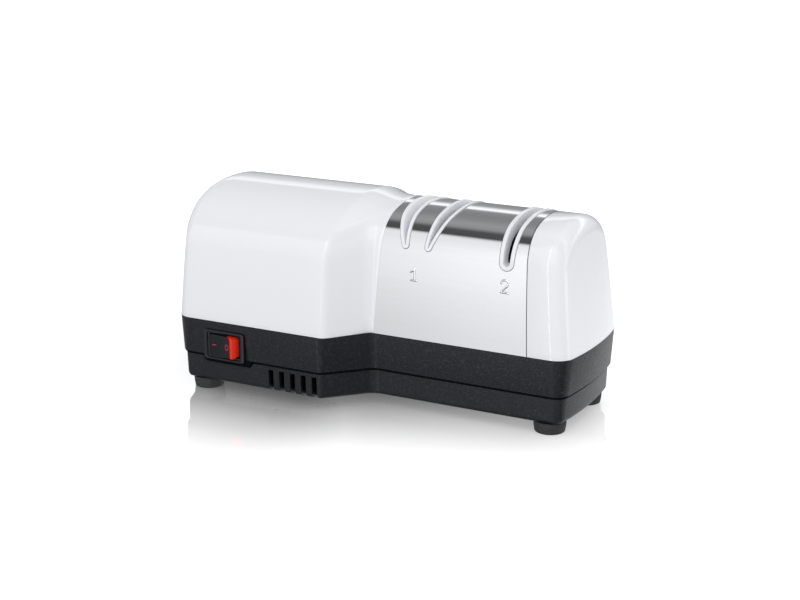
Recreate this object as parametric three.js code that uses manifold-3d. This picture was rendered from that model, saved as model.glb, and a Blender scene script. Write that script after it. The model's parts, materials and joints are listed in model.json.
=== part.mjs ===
// Electric knife sharpener with two stages: a motor section, a sharpening section under a
// brushed steel cover and a black base. Millimetres, +Z up, X along the length, -Y the front,
// origin on the ground under the centre.
import * as THREE from 'three';
import { mergeVertices } from 'three/addons/utils/BufferGeometryUtils.js';
import Module from 'manifold-3d';

const wasm = await Module();
wasm.setup();

// Driving dimensions
const motorDepth = 109.6;
const guideDepth = 69.4;
const guideTop = 100.7;
const topStep = 2.4;
const motorTop = guideTop + topStep;
const seamHeight = 38.9;
const grooveHeight = 19.3;
const footHeight = 5.6;
const motorLength = 82.2;
const neckLength = 19.2;
const steelLength = 82;
const capLength = 19.05;
const leftBow = 12;
const rightBow = 3.4;
const fit = 0.3;
const overrun = 1;
const overallLength = leftBow + motorLength + neckLength + fit / 2 + steelLength + capLength + rightBow;

// Plan stations along X that every shell shares
const leftCornerX = -overallLength / 2 + leftBow;
const kneeX = leftCornerX + motorLength;
const neckX = kneeX + neckLength;
const steelEdgeSlope = 0.053;
const steelLeftX = neckX + fit / 2;
const steelRightX = steelLeftX + steelLength;
const rightCornerX = steelRightX + capLength;
const cornerRadii = { left: 5, knee: 6, neck: 5, right: 7.5 };

// Wall thicknesses
const wall = 2.5;
const steelThickness = 0.8;
const guideWall = 2.3;

// The coarse wheels end just under the knife slots, which sets the height of the shaft, and the
// motor core fills the height about the shaft up to the headroom that it leaves to the housing
const wheel = {
  radius: 24,
  belowTop: 14.7,
  rim: 4,
  rimFrom: 1.9,
  cone: 1.1,
  hub: 7,
  hubLength: 4,
  hubFrom: 6.4,
};
const shaftHeight = guideTop - wheel.belowTop - wheel.radius;
const headroom = 7.6;
const coreHeight = 2 * (motorTop - wall - headroom - shaftHeight);
const core = { fromCorner: 29, length: 30, width: 54, yoke: 5, neck: 18, shoe: 4, poles: 31.4, bore: 15.6 };

// Arch sections across the motor and across the sharpening section: face is the radius of the
// slightly crowned front face, roll the shoulder, crown the top
const motorArch = { half: motorDepth / 2, top: motorTop, lean: 3.4, face: 500, roll: 20, crown: 76 };
const guideArch = { half: guideDepth / 2, top: guideTop, lean: 2.4, face: 480, roll: 20, crown: 55 };

const material = (color, roughness, metalness = 0) =>
  new THREE.MeshStandardMaterial({ color, roughness, metalness });
const white = () => material('#e9eaee', 0.28);
const black = () => material('#3a3b3e', 0.6);
const rubber = () => material('#2b2b2d', 0.85);
const steel = () => material('#c9cbcd', 0.32, 1);
const darkSteel = () => material('#8b8e92', 0.4, 1);
const abrasive = () => material('#b9b3a4', 0.9, 0.3);
const copper = () => material('#b4622c', 0.35, 1);
const red = () => material('#e02b18', 0.3);
const brass = () => material('#b9975a', 0.35, 1);

const sharpener = new THREE.Group();
sharpener.name = 'knife_sharpener';

function add(name, shape, look) {
  const mesh = new THREE.Mesh(geometryOf(shape), look());
  mesh.name = name;
  sharpener.add(mesh);
  return mesh;
}

// Solids and booleans
function solid(geometry) {
  const bare = geometry.clone();
  for (const key of Object.keys(bare.attributes)) {
    if (key !== 'position') bare.deleteAttribute(key);
  }
  const merged = mergeVertices(bare, 1e-4);
  const body = new wasm.Manifold(
    new wasm.Mesh({
      numProp: 3,
      vertProperties: new Float32Array(merged.attributes.position.array),
      triVerts: new Uint32Array(merged.index.array),
    }),
  );
  return body;
}

function geometryOf(shape) {
  const mesh = shape.getMesh();
  const geometry = new THREE.BufferGeometry();
  geometry.setAttribute('position', new THREE.BufferAttribute(new Float32Array(mesh.vertProperties), 3));
  geometry.setIndex(new THREE.BufferAttribute(new Uint32Array(mesh.triVerts), 1));
  return geometry;
}

function moved(geometry, [x, y, z], turn = [0, 0, 0]) {
  const spun = new THREE.Matrix4().makeRotationFromEuler(new THREE.Euler(...turn));
  geometry.applyMatrix4(spun);
  geometry.translate(x, y, z);
  return solid(geometry);
}

const quarter = Math.PI / 2;
const box = (sizes, at, turn) => moved(new THREE.BoxGeometry(...sizes), at, turn);
const tubeSides = 32;
const rodAlongX = (radius, length, at, sides = tubeSides) =>
  moved(new THREE.CylinderGeometry(radius, radius, length, sides), at, [0, 0, -quarter]);
const rodAlongY = (radius, length, at, sides = tubeSides) =>
  moved(new THREE.CylinderGeometry(radius, radius, length, sides), at);
const rodAlongZ = (radius, length, at, sides = tubeSides) =>
  moved(new THREE.CylinderGeometry(radius, radius, length, sides), at, [quarter, 0, 0]);

// A revolved outline: pairs of radius and distance along the axis, closed on itself or on the axis
function turned(outline, at, turn, sides = tubeSides) {
  const points = outline.map(([radius, along]) => new THREE.Vector2(radius, along));
  return moved(new THREE.LatheGeometry(points, sides), at, turn);
}
const alongX = [0, 0, -quarter];
const alongZ = [quarter, 0, 0];

// A prism from an outline in X and Z, running along Y
function prismAlongY(outline, fromY, toY) {
  const shape = new THREE.Shape(outline.map(([x, z]) => new THREE.Vector2(x, z)));
  const geometry = new THREE.ExtrudeGeometry(shape, { depth: toY - fromY, bevelEnabled: false });
  return moved(geometry, [0, toY, 0], [quarter, 0, 0]);
}

// A closed solid from triangles, given as quads and fans of points
class Skin {
  constructor() {
    this.corners = [];
  }
  triangle(a, b, c) {
    this.corners.push(...a, ...b, ...c);
  }
  quad(a, b, c, d) {
    this.triangle(a, b, c);
    this.triangle(a, c, d);
  }
  geometry() {
    const geometry = new THREE.BufferGeometry();
    geometry.setAttribute('position', new THREE.Float32BufferAttribute(this.corners, 3));
    return geometry;
  }
}

// A skin through closed rings of points, one above the other, flat in Z at both ends
function ringSkin(rings) {
  const skin = new Skin();
  const count = rings[0].length;
  for (let k = 0; k + 1 < rings.length; k += 1) {
    for (let i = 0; i < count; i += 1) {
      const next = (i + 1) % count;
      skin.quad(rings[k][i], rings[k][next], rings[k + 1][next], rings[k + 1][i]);
    }
  }
  const cap = (ring, up) => {
    const contour = ring.map(([x, y]) => new THREE.Vector2(x, y));
    for (const face of THREE.ShapeUtils.triangulateShape(contour, [])) {
      const corners = face.map((i) => ring[i]);
      if (!up) corners.reverse();
      skin.triangle(...corners);
    }
  };
  cap(rings[0], false);
  cap(rings[rings.length - 1], true);
  return skin.geometry();
}

// A rectangle with rounded corners about the middle, as pairs of across and up
const cornerSteps = 3;
function roundedRectangle(width, height, radius) {
  const points = [];
  [[1, -1], [1, 1], [-1, 1], [-1, -1]].forEach(([sideX, sideZ], i) => {
    for (let k = 0; k <= cornerSteps; k += 1) {
      const angle = quarter * (i - 1) + (quarter * k) / cornerSteps;
      points.push([
        sideX * (width / 2 - radius) + radius * Math.cos(angle),
        sideZ * (height / 2 - radius) + radius * Math.sin(angle),
      ]);
    }
  });
  return points;
}

// The arch outline, from the front seam over the crown to the back seam, moved inwards by inset
const outerSteps = { face: 3, roll: 7, crown: 4, edge: 4 };
const innerSteps = { face: 2, roll: 3, crown: 2, edge: 2 };
function archPoints(arch, inset, fromZ = seamHeight, archSteps = outerSteps) {
  const lean = THREE.MathUtils.degToRad(arch.lean);
  const face = [arch.half - arch.face * Math.cos(lean), seamHeight - arch.face * Math.sin(lean)];
  const crown = [0, arch.top - arch.crown];
  const roll = circleMeeting(face, arch.face - arch.roll, crown, arch.crown - arch.roll);
  const faceEnd = Math.atan2(roll[1] - face[1], roll[0] - face[0]);
  const rollEnd = Math.atan2(roll[1] - crown[1], roll[0] - crown[0]);
  const faceStart = Math.asin((fromZ - face[1]) / (arch.face - inset));
  const right = [
    ...arc(face, arch.face - inset, faceStart, faceEnd, archSteps.face),
    ...arc(roll, arch.roll - inset, faceEnd, rollEnd, archSteps.roll),
    ...arc(crown, arch.crown - inset, rollEnd, quarter, archSteps.crown),
    [0, arch.top - inset],
  ];
  const left = right.map(([y, z]) => [-y, z]);
  return [...left, ...right.slice(0, -1).reverse()];
}

function arc(centre, radius, from, to, steps) {
  return Array.from({ length: steps }, (_, i) => {
    const angle = from + ((to - from) * i) / steps;
    return [centre[0] + radius * Math.cos(angle), centre[1] + radius * Math.sin(angle)];
  });
}

// The point at one distance from each of two centres, on the upper right side
function circleMeeting(a, reachA, b, reachB) {
  const dx = b[0] - a[0];
  const dy = b[1] - a[1];
  const apart = Math.hypot(dx, dy);
  const along = (apart * apart + reachA * reachA - reachB * reachB) / (2 * apart);
  const off = Math.sqrt(reachA * reachA - along * along);
  const base = [a[0] + (dx * along) / apart, a[1] + (dy * along) / apart];
  const options = [
    [base[0] - (off * dy) / apart, base[1] + (off * dx) / apart],
    [base[0] + (off * dy) / apart, base[1] - (off * dx) / apart],
  ];
  return options[0][1] > options[1][1] ? options[0] : options[1];
}

// How far an end of a bow stands out at a place across it, flatter in the middle than a parabola
// where the power is over 2
const bowPowers = { left: 2.6, right: 2 };
const bowAt = (bow, power, y, half) => bow * (1 - Math.abs(y / half) ** power);

// A loft through arch stations. Each station has x, its outline, how far it leans along X with
// height, how far it is tucked in at the crown and how far it bows along X towards the middle.
const bowedCells = 6;
const tuckPower = 16;
function archLoft(stations, half) {
  const capCells = stations.some((station) => station.bow) ? bowedCells : 1;
  const place = (station, [y, z]) => {
    const bow = bowAt(station.bow, station.bow < 0 ? bowPowers.left : bowPowers.right, y, half);
    const height = Math.max(0, z - seamHeight);
    const tuck = (station.tuck ?? 0) * (height / (motorTop - seamHeight)) ** tuckPower;
    return [station.x + station.lean * (z - seamHeight) + tuck + bow, y, z];
  };
  const across = (outline, row, cell) => {
    const front = outline[row];
    const back = outline[outline.length - 1 - row];
    const share = cell / capCells;
    return [front[0] + (back[0] - front[0]) * share, front[1]];
  };
  const skin = new Skin();
  for (let k = 0; k + 1 < stations.length; k += 1) {
    const [a, b] = [stations[k], stations[k + 1]];
    for (let i = 0; i + 1 < a.outline.length; i += 1) {
      skin.quad(
        place(a, a.outline[i]),
        place(b, b.outline[i]),
        place(b, b.outline[i + 1]),
        place(a, a.outline[i + 1]),
      );
    }
    for (let cell = 0; cell < capCells; cell += 1) {
      skin.quad(
        place(a, across(a.outline, 0, cell)),
        place(a, across(a.outline, 0, cell + 1)),
        place(b, across(b.outline, 0, cell + 1)),
        place(b, across(b.outline, 0, cell)),
      );
    }
  }
  for (const [station, outward] of [[stations[0], -1], [stations[stations.length - 1], 1]]) {
    const rows = (station.outline.length - 1) / 2;
    for (let row = 0; row < rows; row += 1) {
      for (let cell = 0; cell < capCells; cell += 1) {
        const corners = [
          place(station, across(station.outline, row, cell)),
          place(station, across(station.outline, row, cell + 1)),
          place(station, across(station.outline, row + 1, cell + 1)),
          place(station, across(station.outline, row + 1, cell)),
        ];
        if (outward < 0) corners.reverse();
        skin.quad(...corners);
      }
    }
  }
  return solid(skin.geometry());
}

// Motor housing: a white moulded shell with a bowed, leaning left end and a neck that narrows and
// drops to the steel cover
const motorEnd = { lean: 0.092, edge: cornerRadii.left, tuck: 3.2 };
// The neck's blend eases in at the knee and out at the steel, longer near the crown than at the seam
const neckEaseShares = { seam: { knee: 0.24, neck: 0.2 }, crown: { knee: 0.12, neck: 0.6 } };
const neckShares = { outer: [0, 0.12, 0.25, 0.4, 0.6, 0.75, 0.88, 1], inner: [0, 0.3, 0.7, 1] };

function neckBlend(share, heightShare) {
  const { seam, crown } = neckEaseShares;
  const knee = seam.knee + (crown.knee - seam.knee) * heightShare;
  const neck = seam.neck + (crown.neck - seam.neck) * heightShare;
  const slope = 1 / (1 - knee / 2 - neck / 2);
  if (share < knee) return (slope * share * share) / (2 * knee);
  if (share > 1 - neck) return 1 - (slope * (1 - share) * (1 - share)) / (2 * neck);
  return slope * (share - knee / 2);
}

function motorStations(inset, fromZ, pastEnd, steps, shares) {
  const ends = Array.from({ length: steps.edge + 1 }, (_, i) => {
    const angle = (quarter * i) / steps.edge;
    const radius = motorEnd.edge;
    return {
      x: leftCornerX + inset + radius * (1 - Math.cos(angle)),
      outline: archPoints(motorArch, inset + radius * (1 - Math.sin(angle)), fromZ, steps),
      lean: motorEnd.lean,
      tuck: motorEnd.tuck,
      bow: -leftBow,
    };
  });
  const straightShares = [0.3, 0.6];
  const straight = straightShares.map((share) => ({
    x: leftCornerX + share * motorLength,
    outline: archPoints(motorArch, inset, fromZ, steps),
    lean: motorEnd.lean * (1 - share),
    tuck: motorEnd.tuck * (1 - share),
    bow: -leftBow * (1 - share),
  }));
  const motor = archPoints(motorArch, inset, fromZ, steps);
  const guide = archPoints(guideArch, inset, fromZ, steps);
  const neck = shares.map((share) => ({
    x: kneeX + share * neckLength,
    outline: motor.map(([y, z], i) => {
      const blend = neckBlend(share, Math.max(0, (z - seamHeight) / (motorTop - seamHeight)));
      return [y + (guide[i][0] - y) * blend, z + (guide[i][1] - z) * blend];
    }),
    lean: 0,
    bow: 0,
  }));
  const end = { x: steelLeftX - fit / 4 + pastEnd, outline: guide, lean: steelEdgeSlope, bow: 0 };
  return [...ends, ...straight, ...neck, end];
}

function buildMotorHousing() {
  const outside = motorStations(0, seamHeight, 0, outerSteps, neckShares.outer);
  const inside = motorStations(wall, seamHeight - overrun, overrun, innerSteps, neckShares.inner);
  const half = motorArch.half;
  add('motor_housing', archLoft(outside, half).subtract(archLoft(inside, half)), white);
}

// End cap: the white right end, bowed in plan and leaning inwards, with a soft rounded rim
const capEnd = { lean: -0.115, edge: cornerRadii.right };

function capStations(inset, fromZ, pastStart, steps) {
  const start = {
    x: steelRightX + fit / 2 - pastStart,
    outline: archPoints(guideArch, inset, fromZ, steps),
    lean: -steelEdgeSlope,
    bow: 0,
  };
  const radius = capEnd.edge - inset;
  const ends = Array.from({ length: steps.edge + 1 }, (_, i) => {
    const angle = quarter - (quarter * i) / steps.edge;
    return {
      x: rightCornerX - inset - radius * (1 - Math.cos(angle)),
      outline: archPoints(guideArch, inset + radius * (1 - Math.sin(angle)), fromZ, steps),
      lean: capEnd.lean,
      bow: rightBow,
    };
  });
  return [start, ...ends];
}

function buildEndCap() {
  const outside = archLoft(capStations(0, seamHeight, 0, outerSteps), guideArch.half);
  const hollow = capStations(wall, seamHeight - overrun, overrun, innerSteps);
  const inside = archLoft(hollow, guideArch.half);
  add('end_cap', outside.subtract(inside), white);
}

// A shell that follows the sharpening arch between the two slanted edges of the steel
function steelBand(outer, inner, fromZ, steps) {
  const edge = (x, lean, inset, drop, past) => ({
    x: x + past,
    outline: archPoints(guideArch, inset, fromZ - drop, steps),
    lean,
    bow: 0,
  });
  const shell = (inset, drop, past) =>
    archLoft(
      [
        edge(steelLeftX + fit / 4, steelEdgeSlope, inset, drop, -past),
        edge(steelRightX - fit / 4, -steelEdgeSlope, inset, drop, past),
      ],
      guideArch.half,
    );
  return shell(outer, 0, 0).subtract(shell(inner, overrun, overrun));
}

// Knife slots: each is a plane along Y, tilted about Y, that narrows from its mouth at the crown to
// its rounded toe, and is placed by the lowest point of its rim
const slot = { rim: 1.5, proud: 0.6, depth: 12 };
const slits = { coarse: { mouth: 5.6, toe: 0.6 }, fine: { mouth: 5.7, toe: 4.3 } };
const coarseFromEdge = 21.75;
const fineFromEdge = 12.8;
const coarseMiddleX = steelLeftX + coarseFromEdge;
const coarseHalfGap = 5.7;
const coarseTilt = THREE.MathUtils.degToRad(13.2);
const fineX = steelRightX - fineFromEdge;
const slotEnds = { coarse: 17.9, fine: 22.4 };
const coarseZ = guideTop - slotEnds.coarse;
const knifeSlots = {
  left: { x: coarseMiddleX - coarseHalfGap, z: coarseZ, tilt: -coarseTilt, slit: slits.coarse },
  right: { x: coarseMiddleX + coarseHalfGap, z: coarseZ, tilt: coarseTilt, slit: slits.coarse },
  fine: { x: fineX, z: guideTop - slotEnds.fine, tilt: 0, slit: slits.fine },
};

function slotPrism(place, grow) {
  const { mouth, toe } = place.slit;
  const radius = toe / 2 + grow;
  const toeAt = toe / 2 + slot.rim;
  const crownAt = (guideTop - place.z) / Math.cos(place.tilt);
  const above = overrun * 4;
  const half = mouth / 2 + grow + (above * (mouth - toe)) / 2 / (crownAt - toeAt);
  const outline = [];
  const steps = 6;
  for (let i = 0; i <= steps; i += 1) {
    const angle = Math.PI + (Math.PI * i) / steps;
    outline.push([radius * Math.cos(angle), toeAt + radius * Math.sin(angle)]);
  }
  outline.push([half, crownAt + above], [-half, crownAt + above]);
  const cos = Math.cos(place.tilt);
  const sin = Math.sin(place.tilt);
  const tilted = outline.map(([across, up]) => [
    place.x + across * cos + up * sin,
    place.z - across * sin + up * cos,
  ]);
  return prismAlongY(tilted, -guideDepth, guideDepth);
}

function archBlock(inset, margin, steps) {
  const outline = archPoints(guideArch, inset, seamHeight, steps);
  return archLoft(
    [
      { x: steelLeftX - margin, outline, lean: 0, bow: 0 },
      { x: steelRightX + margin, outline, lean: 0, bow: 0 },
    ],
    guideArch.half,
  );
}

function buildKnifeGuides() {
  const outer = archBlock(-slot.proud, slot.depth, outerSteps);
  const inner = archBlock(slot.depth, slot.depth * 2, innerSteps);
  const liner = outer.subtract(inner);
  for (const [name, place] of Object.entries(knifeSlots)) {
    const body = liner.intersect(slotPrism(place, slot.rim)).subtract(slotPrism(place, 0));
    add(`knife_guide_${name}`, body, white);
  }
}

function buildGuideShells() {
  const under = steelThickness + fit / 2;
  let cover = steelBand(0, steelThickness, seamHeight, outerSteps);
  let bridge = steelBand(under, under + guideWall, seamHeight, innerSteps);
  for (const place of Object.values(knifeSlots)) {
    const window = slotPrism(place, slot.rim + fit / 2);
    cover = cover.subtract(window);
    bridge = bridge.subtract(window);
  }
  add('steel_cover', cover, steel);
  add('guide_housing', bridge, white);
}

// Plan outline shared by the base shells, at a given inset, from the seam outline
function filleted(corners) {
  const points = [];
  const count = corners.length;
  corners.forEach(({ x, y, radius, steps }, i) => {
    if (!radius) {
      points.push([x, y]);
      return;
    }
    const here = new THREE.Vector2(x, y);
    const previous = corners[(i + count - 1) % count];
    const next = corners[(i + 1) % count];
    const before = new THREE.Vector2(previous.x, previous.y);
    const after = new THREE.Vector2(next.x, next.y);
    const inward = before.sub(here).normalize();
    const outward = after.sub(here).normalize();
    const half = Math.acos(THREE.MathUtils.clamp(inward.dot(outward), -1, 1)) / 2;
    const cut = radius / Math.tan(half);
    const start = here.clone().addScaledVector(inward, cut);
    const end = here.clone().addScaledVector(outward, cut);
    const middle = inward.clone().add(outward).normalize();
    const centre = here.clone().addScaledVector(middle, radius / Math.sin(half));
    const from = Math.atan2(start.y - centre.y, start.x - centre.x);
    let sweep = Math.atan2(end.y - centre.y, end.x - centre.x) - from;
    if (sweep > Math.PI) sweep -= 2 * Math.PI;
    if (sweep < -Math.PI) sweep += 2 * Math.PI;
    for (let k = 0; k <= steps; k += 1) {
      const angle = from + (sweep * k) / steps;
      points.push([centre.x + radius * Math.cos(angle), centre.y + radius * Math.sin(angle)]);
    }
  });
  return points;
}

const endCells = bowedCells;
const neckTurn = Math.atan2((motorDepth - guideDepth) / 2, neckLength);
function planOutline(inset) {
  const front = motorDepth / 2 - inset;
  const near = guideDepth / 2 - inset;
  const skew = inset * Math.tan(neckTurn / 2);
  const left = leftCornerX + inset;
  const right = rightCornerX - inset;
  const corners = [];
  for (let i = 1; i < endCells; i += 1) {
    corners.push({ x: left, y: front - (2 * front * i) / endCells });
  }
  const convex = (radius) => Math.max(radius - inset, fit);
  corners.push(
    { x: left, y: -front, radius: convex(cornerRadii.left), steps: 4 },
    { x: kneeX - skew, y: -front, radius: convex(cornerRadii.knee), steps: 3 },
    { x: neckX - skew, y: -near, radius: cornerRadii.neck + inset, steps: 3 },
    { x: right, y: -near, radius: convex(cornerRadii.right), steps: 5 },
  );
  for (let i = 1; i < endCells; i += 1) {
    corners.push({ x: right, y: -near + (2 * near * i) / endCells });
  }
  corners.push(
    { x: right, y: near, radius: convex(cornerRadii.right), steps: 5 },
    { x: neckX - skew, y: near, radius: cornerRadii.neck + inset, steps: 3 },
    { x: kneeX - skew, y: front, radius: convex(cornerRadii.knee), steps: 3 },
    { x: left, y: front, radius: convex(cornerRadii.left), steps: 4 },
  );
  return filleted(corners).map(([x, y]) => {
    if (x < kneeX) {
      const weight = Math.min(1, (kneeX - x) / motorLength);
      return [x - weight * bowAt(leftBow, bowPowers.left, y, motorDepth / 2), y];
    }
    const weight = Math.max(0, (x - steelRightX) / (rightCornerX - steelRightX));
    return [x + Math.min(1, weight) * bowAt(rightBow, bowPowers.right, y, guideDepth / 2), y];
  });
}

// A solid through plan outlines, each given as a height and an inset
function planLoft(levels) {
  return solid(ringSkin(levels.map(([z, inset]) => planOutline(inset).map(([x, y]) => [x, y, z]))));
}

const bushFrom = { corner: 24, seam: 9.9 };
const cordBush = {
  x: leftCornerX + bushFrom.corner,
  z: seamHeight - bushFrom.seam,
  flange: 7,
  neck: 4.8,
  bore: 3.4,
  edge: 0.8,
  length: 9,
};

// Base: an upper band with a tab under the switch, and a pan below the parting groove
const band = { taper: 1.3, lip: 1.1, lipHeight: 1.2 };
const pan = { step: 2.6, taper: 0.4, edge: 3, floor: 2.4 };
const switchTab = { width: 28, below: 2.3, offset: 1.4, corner: 2 };
const switchFrom = { corner: 26.65, seam: 12.25 };
const rockerSwitch = {
  x: leftCornerX + switchFrom.corner,
  z: seamHeight - switchFrom.seam,
  bezel: [23.9, 15.5],
  bezelCorner: 1.4,
  bezelEdge: 0.4,
  body: [21, 13],
  rocker: [17.2, 10.8],
  mouth: 0.9,
  flange: 1,
  bodyDepth: 19,
};
const tabX = rockerSwitch.x + switchTab.offset;

// The tab's outline in front view, run through the front wall. Its upper corners lie in the wall.
function tabPrism(margin, above) {
  const bottom = grooveHeight - switchTab.below - margin;
  const top = grooveHeight + above + switchTab.corner;
  const reach = wall * 2 + pan.step;
  const outline = roundedRectangle(switchTab.width + 2 * margin, top - bottom, switchTab.corner + margin).map(
    ([across, up]) => [tabX + across, (top + bottom) / 2 + up],
  );
  return prismAlongY(outline, -motorDepth / 2 - reach, -motorDepth / 2 + reach);
}

function faceInsetAt(z) {
  return (band.taper * (seamHeight - z)) / (seamHeight - grooveHeight);
}

function buildBaseFrame() {
  const tabBottom = grooveHeight - switchTab.below;
  const slope = band.taper / (seamHeight - grooveHeight);
  const at = (z, extra) => [z, slope * (seamHeight - z) + extra];
  const shell = (extra, past) => planLoft([at(tabBottom - past, extra), at(seamHeight + past, extra)]);
  const wallShell = shell(0, 0).subtract(shell(wall, overrun));
  const chamfer = planLoft([
    [grooveHeight - overrun, band.taper + band.lip],
    [grooveHeight, band.taper + band.lip],
    [grooveHeight + band.lipHeight, faceInsetAt(grooveHeight + band.lipHeight)],
    [seamHeight, 0],
  ]);
  const above = wallShell.intersect(chamfer);
  const ring = above.subtract(
    box(
      [overallLength * 2, overallLength, overrun * 4],
      [0, 0, grooveHeight - overrun * 2],
    ),
  );
  const tab = wallShell.intersect(tabPrism(0, band.lipHeight * 2));
  const opening = box(
    [rockerSwitch.body[0] + fit, wall * 8, rockerSwitch.body[1] + fit],
    [rockerSwitch.x, -motorDepth / 2, rockerSwitch.z],
  );
  const cordHole = rodAlongY(cordBush.neck + fit / 2, wall * 8, [cordBush.x, motorDepth / 2, cordBush.z], 24);
  add('base_frame', ring.add(tab).subtract(opening).subtract(cordHole), black);
}

const cradle = { thick: 5, margin: 4 };
const boss = { radius: 4, cover: 2.4 };
const vents = { count: 5, pitch: 6.28, width: 2.9, fromKnee: 4.8, top: 2.2, reach: 9 };
function buildBasePan() {
  const top = grooveHeight - fit;
  const low = pan.step + pan.taper;
  const floorTop = footHeight + pan.floor;
  const edge = (angle) => [
    footHeight + pan.edge * (1 - Math.sin(angle)),
    low + pan.edge * (1 - Math.cos(angle)),
  ];
  const outside = planLoft([
    edge(quarter),
    edge(quarter / 2),
    edge(0),
    [top, pan.step],
  ]);
  const inside = planLoft([
    [floorTop, low + wall],
    [top + overrun, pan.step + wall],
  ]);
  let body = outside.subtract(inside).subtract(tabPrism(fit, overrun));
  const slotBottom = footHeight - overrun;
  const slotTop = grooveHeight - vents.top;
  for (const side of [-1, 1]) {
    for (let i = 0; i < vents.count; i += 1) {
      const x = kneeX - vents.fromKnee - i * vents.pitch;
      body = body.subtract(
        box(
          [vents.width, vents.reach * 2, slotTop - slotBottom],
          [x, (side * motorDepth) / 2, (slotTop + slotBottom) / 2],
        ),
      );
    }
  }
  const cradleTop = shaftHeight - coreHeight / 2 - fit / 2;
  const cradleBottom = footHeight + pan.floor - overrun;
  for (const side of [-1, 1]) {
    body = body.add(
      box(
        [core.length - cradle.margin, cradle.thick, cradleTop - cradleBottom],
        [coreX, (side * (core.width - cradle.thick)) / 2, (cradleTop + cradleBottom) / 2],
      ),
    );
  }
  const bossTop = footScrew.length + foot.recessDepth + boss.cover;
  for (const [x, y] of footPlaces()) {
    const height = bossTop - footHeight - overrun;
    const pilot = bossTop - boss.cover / 2 - footHeight + overrun;
    body = body
      .add(rodAlongZ(boss.radius, height, [x, y, footHeight + overrun + height / 2], 10))
      .subtract(rodAlongZ(footScrew.shank + fit / 2, pilot, [x, y, footHeight - overrun + pilot / 2], 8));
  }
  add('base_pan', body, black);
}

// Feet with their screws
const foot = { radius: 8, taper: 0.5, recess: 4.2, recessDepth: 2.6, sides: 14 };
const footScrew = { shank: 1.5, head: 3.2, headHeight: 1.8, length: 12 };
const feetInset = { left: 8.8, right: 11, leftY: 11.8, rightY: 11.3 };

function footPlaces() {
  const left = leftCornerX + feetInset.left;
  const right = rightCornerX - feetInset.right;
  const leftY = motorDepth / 2 - feetInset.leftY;
  const rightY = guideDepth / 2 - feetInset.rightY;
  return [
    [left, -leftY],
    [right, -rightY],
    [left, leftY],
    [right, rightY],
  ];
}
const footNames = ['front_left', 'front_right', 'back_left', 'back_right'];

function buildFeet() {
  footPlaces().forEach(([x, y], i) => {
    const hole = footScrew.shank + fit / 2;
    const outline = [
      [hole, foot.recessDepth],
      [foot.recess, foot.recessDepth],
      [foot.recess, 0],
      [foot.radius - foot.taper, 0],
      [foot.radius, foot.taper],
      [foot.radius, footHeight],
      [hole, footHeight],
      [hole, foot.recessDepth],
    ];
    add(`foot_${footNames[i]}`, turned(outline, [x, y, 0], alongZ, foot.sides), rubber);
    const seat = foot.recessDepth - fit / 2;
    const screw = [
      [0, seat - footScrew.headHeight],
      [footScrew.head, seat - footScrew.headHeight],
      [footScrew.head, seat],
      [footScrew.shank, seat],
      [footScrew.shank, seat + footScrew.length],
      [0, seat + footScrew.length],
    ];
    add(`foot_screw_${footNames[i]}`, turned(screw, [x, y, 0], alongZ, 10), darkSteel);
  });
}

// Rocker switch in the front wall of the band. The rocker turns about Z on two trunnions, its side
// faces are arcs about that pivot and its crown dips to the middle.
const pivot = { depth: 2.8, tilt: THREE.MathUtils.degToRad(10), pin: 1.1, pinLength: 0.9 };
const rockerForm = {
  tipAngle: THREE.MathUtils.degToRad(28),
  dip: 0.9,
  panel: 0.7,
  corner: 2,
  heel: 4,
  heelShare: 0.55,
};
const switchFaceY = -motorDepth / 2 + faceInsetAt(rockerSwitch.z + rockerSwitch.bezel[1] / 2) - fit / 2;

const pivotY = switchFaceY - rockerSwitch.flange + pivot.depth;
const rockerRadius = rockerSwitch.rocker[0] / 2;
const rockerReach = rockerRadius * Math.sin(rockerForm.tipAngle + pivot.tilt) - pivotY;

function buildSwitchBody() {
  const { x, z, bezel, bezelCorner, bezelEdge, body, rocker, mouth, flange, bodyDepth } = rockerSwitch;
  const frontY = switchFaceY - flange;
  // A frame of rings in front view, each given as how far it stands out of the wall and its size
  const frame = (rings) =>
    moved(
      ringSkin(
        rings.map(([out, width, height, corner]) =>
          roundedRectangle(width, height, corner).map(([across, up]) => [across, up, out]),
        ),
      ),
      [x, switchFaceY, z],
      alongZ,
    );
  const plate = frame([
    [0, bezel[0], bezel[1], bezelCorner],
    [flange - bezelEdge, bezel[0], bezel[1], bezelCorner],
    [flange, bezel[0] - 2 * bezelEdge, bezel[1] - 2 * bezelEdge, bezelCorner - bezelEdge],
  ]);
  const [wellWidth, wellHeight] = [rocker[0] + 2 * fit, rocker[1] + 2 * fit];
  const flare = frame([
    [flange - mouth, wellWidth, wellHeight, fit],
    [flange + overrun, wellWidth + mouth + overrun, wellHeight + mouth + overrun, bezelCorner],
  ]);
  const wellBack = pivotY + Math.hypot(rockerRadius * rockerForm.heelShare, rockerForm.heel) + fit;
  const wellFront = frontY - overrun;
  const well = box([wellWidth, wellBack - wellFront, wellHeight], [x, (wellBack + wellFront) / 2, z]);
  const shellLength = bodyDepth + flange / 2;
  const shell = box([body[0], shellLength, body[1]], [x, frontY + flange / 2 + shellLength / 2, z]);
  const pinHole = rodAlongZ(pivot.pin + fit / 2, rocker[1] + 2 * (pivot.pinLength + fit), [x, pivotY, z], 16);
  add('switch_body', plate.add(shell).subtract(well).subtract(flare).subtract(pinHole), black);
}

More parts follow.
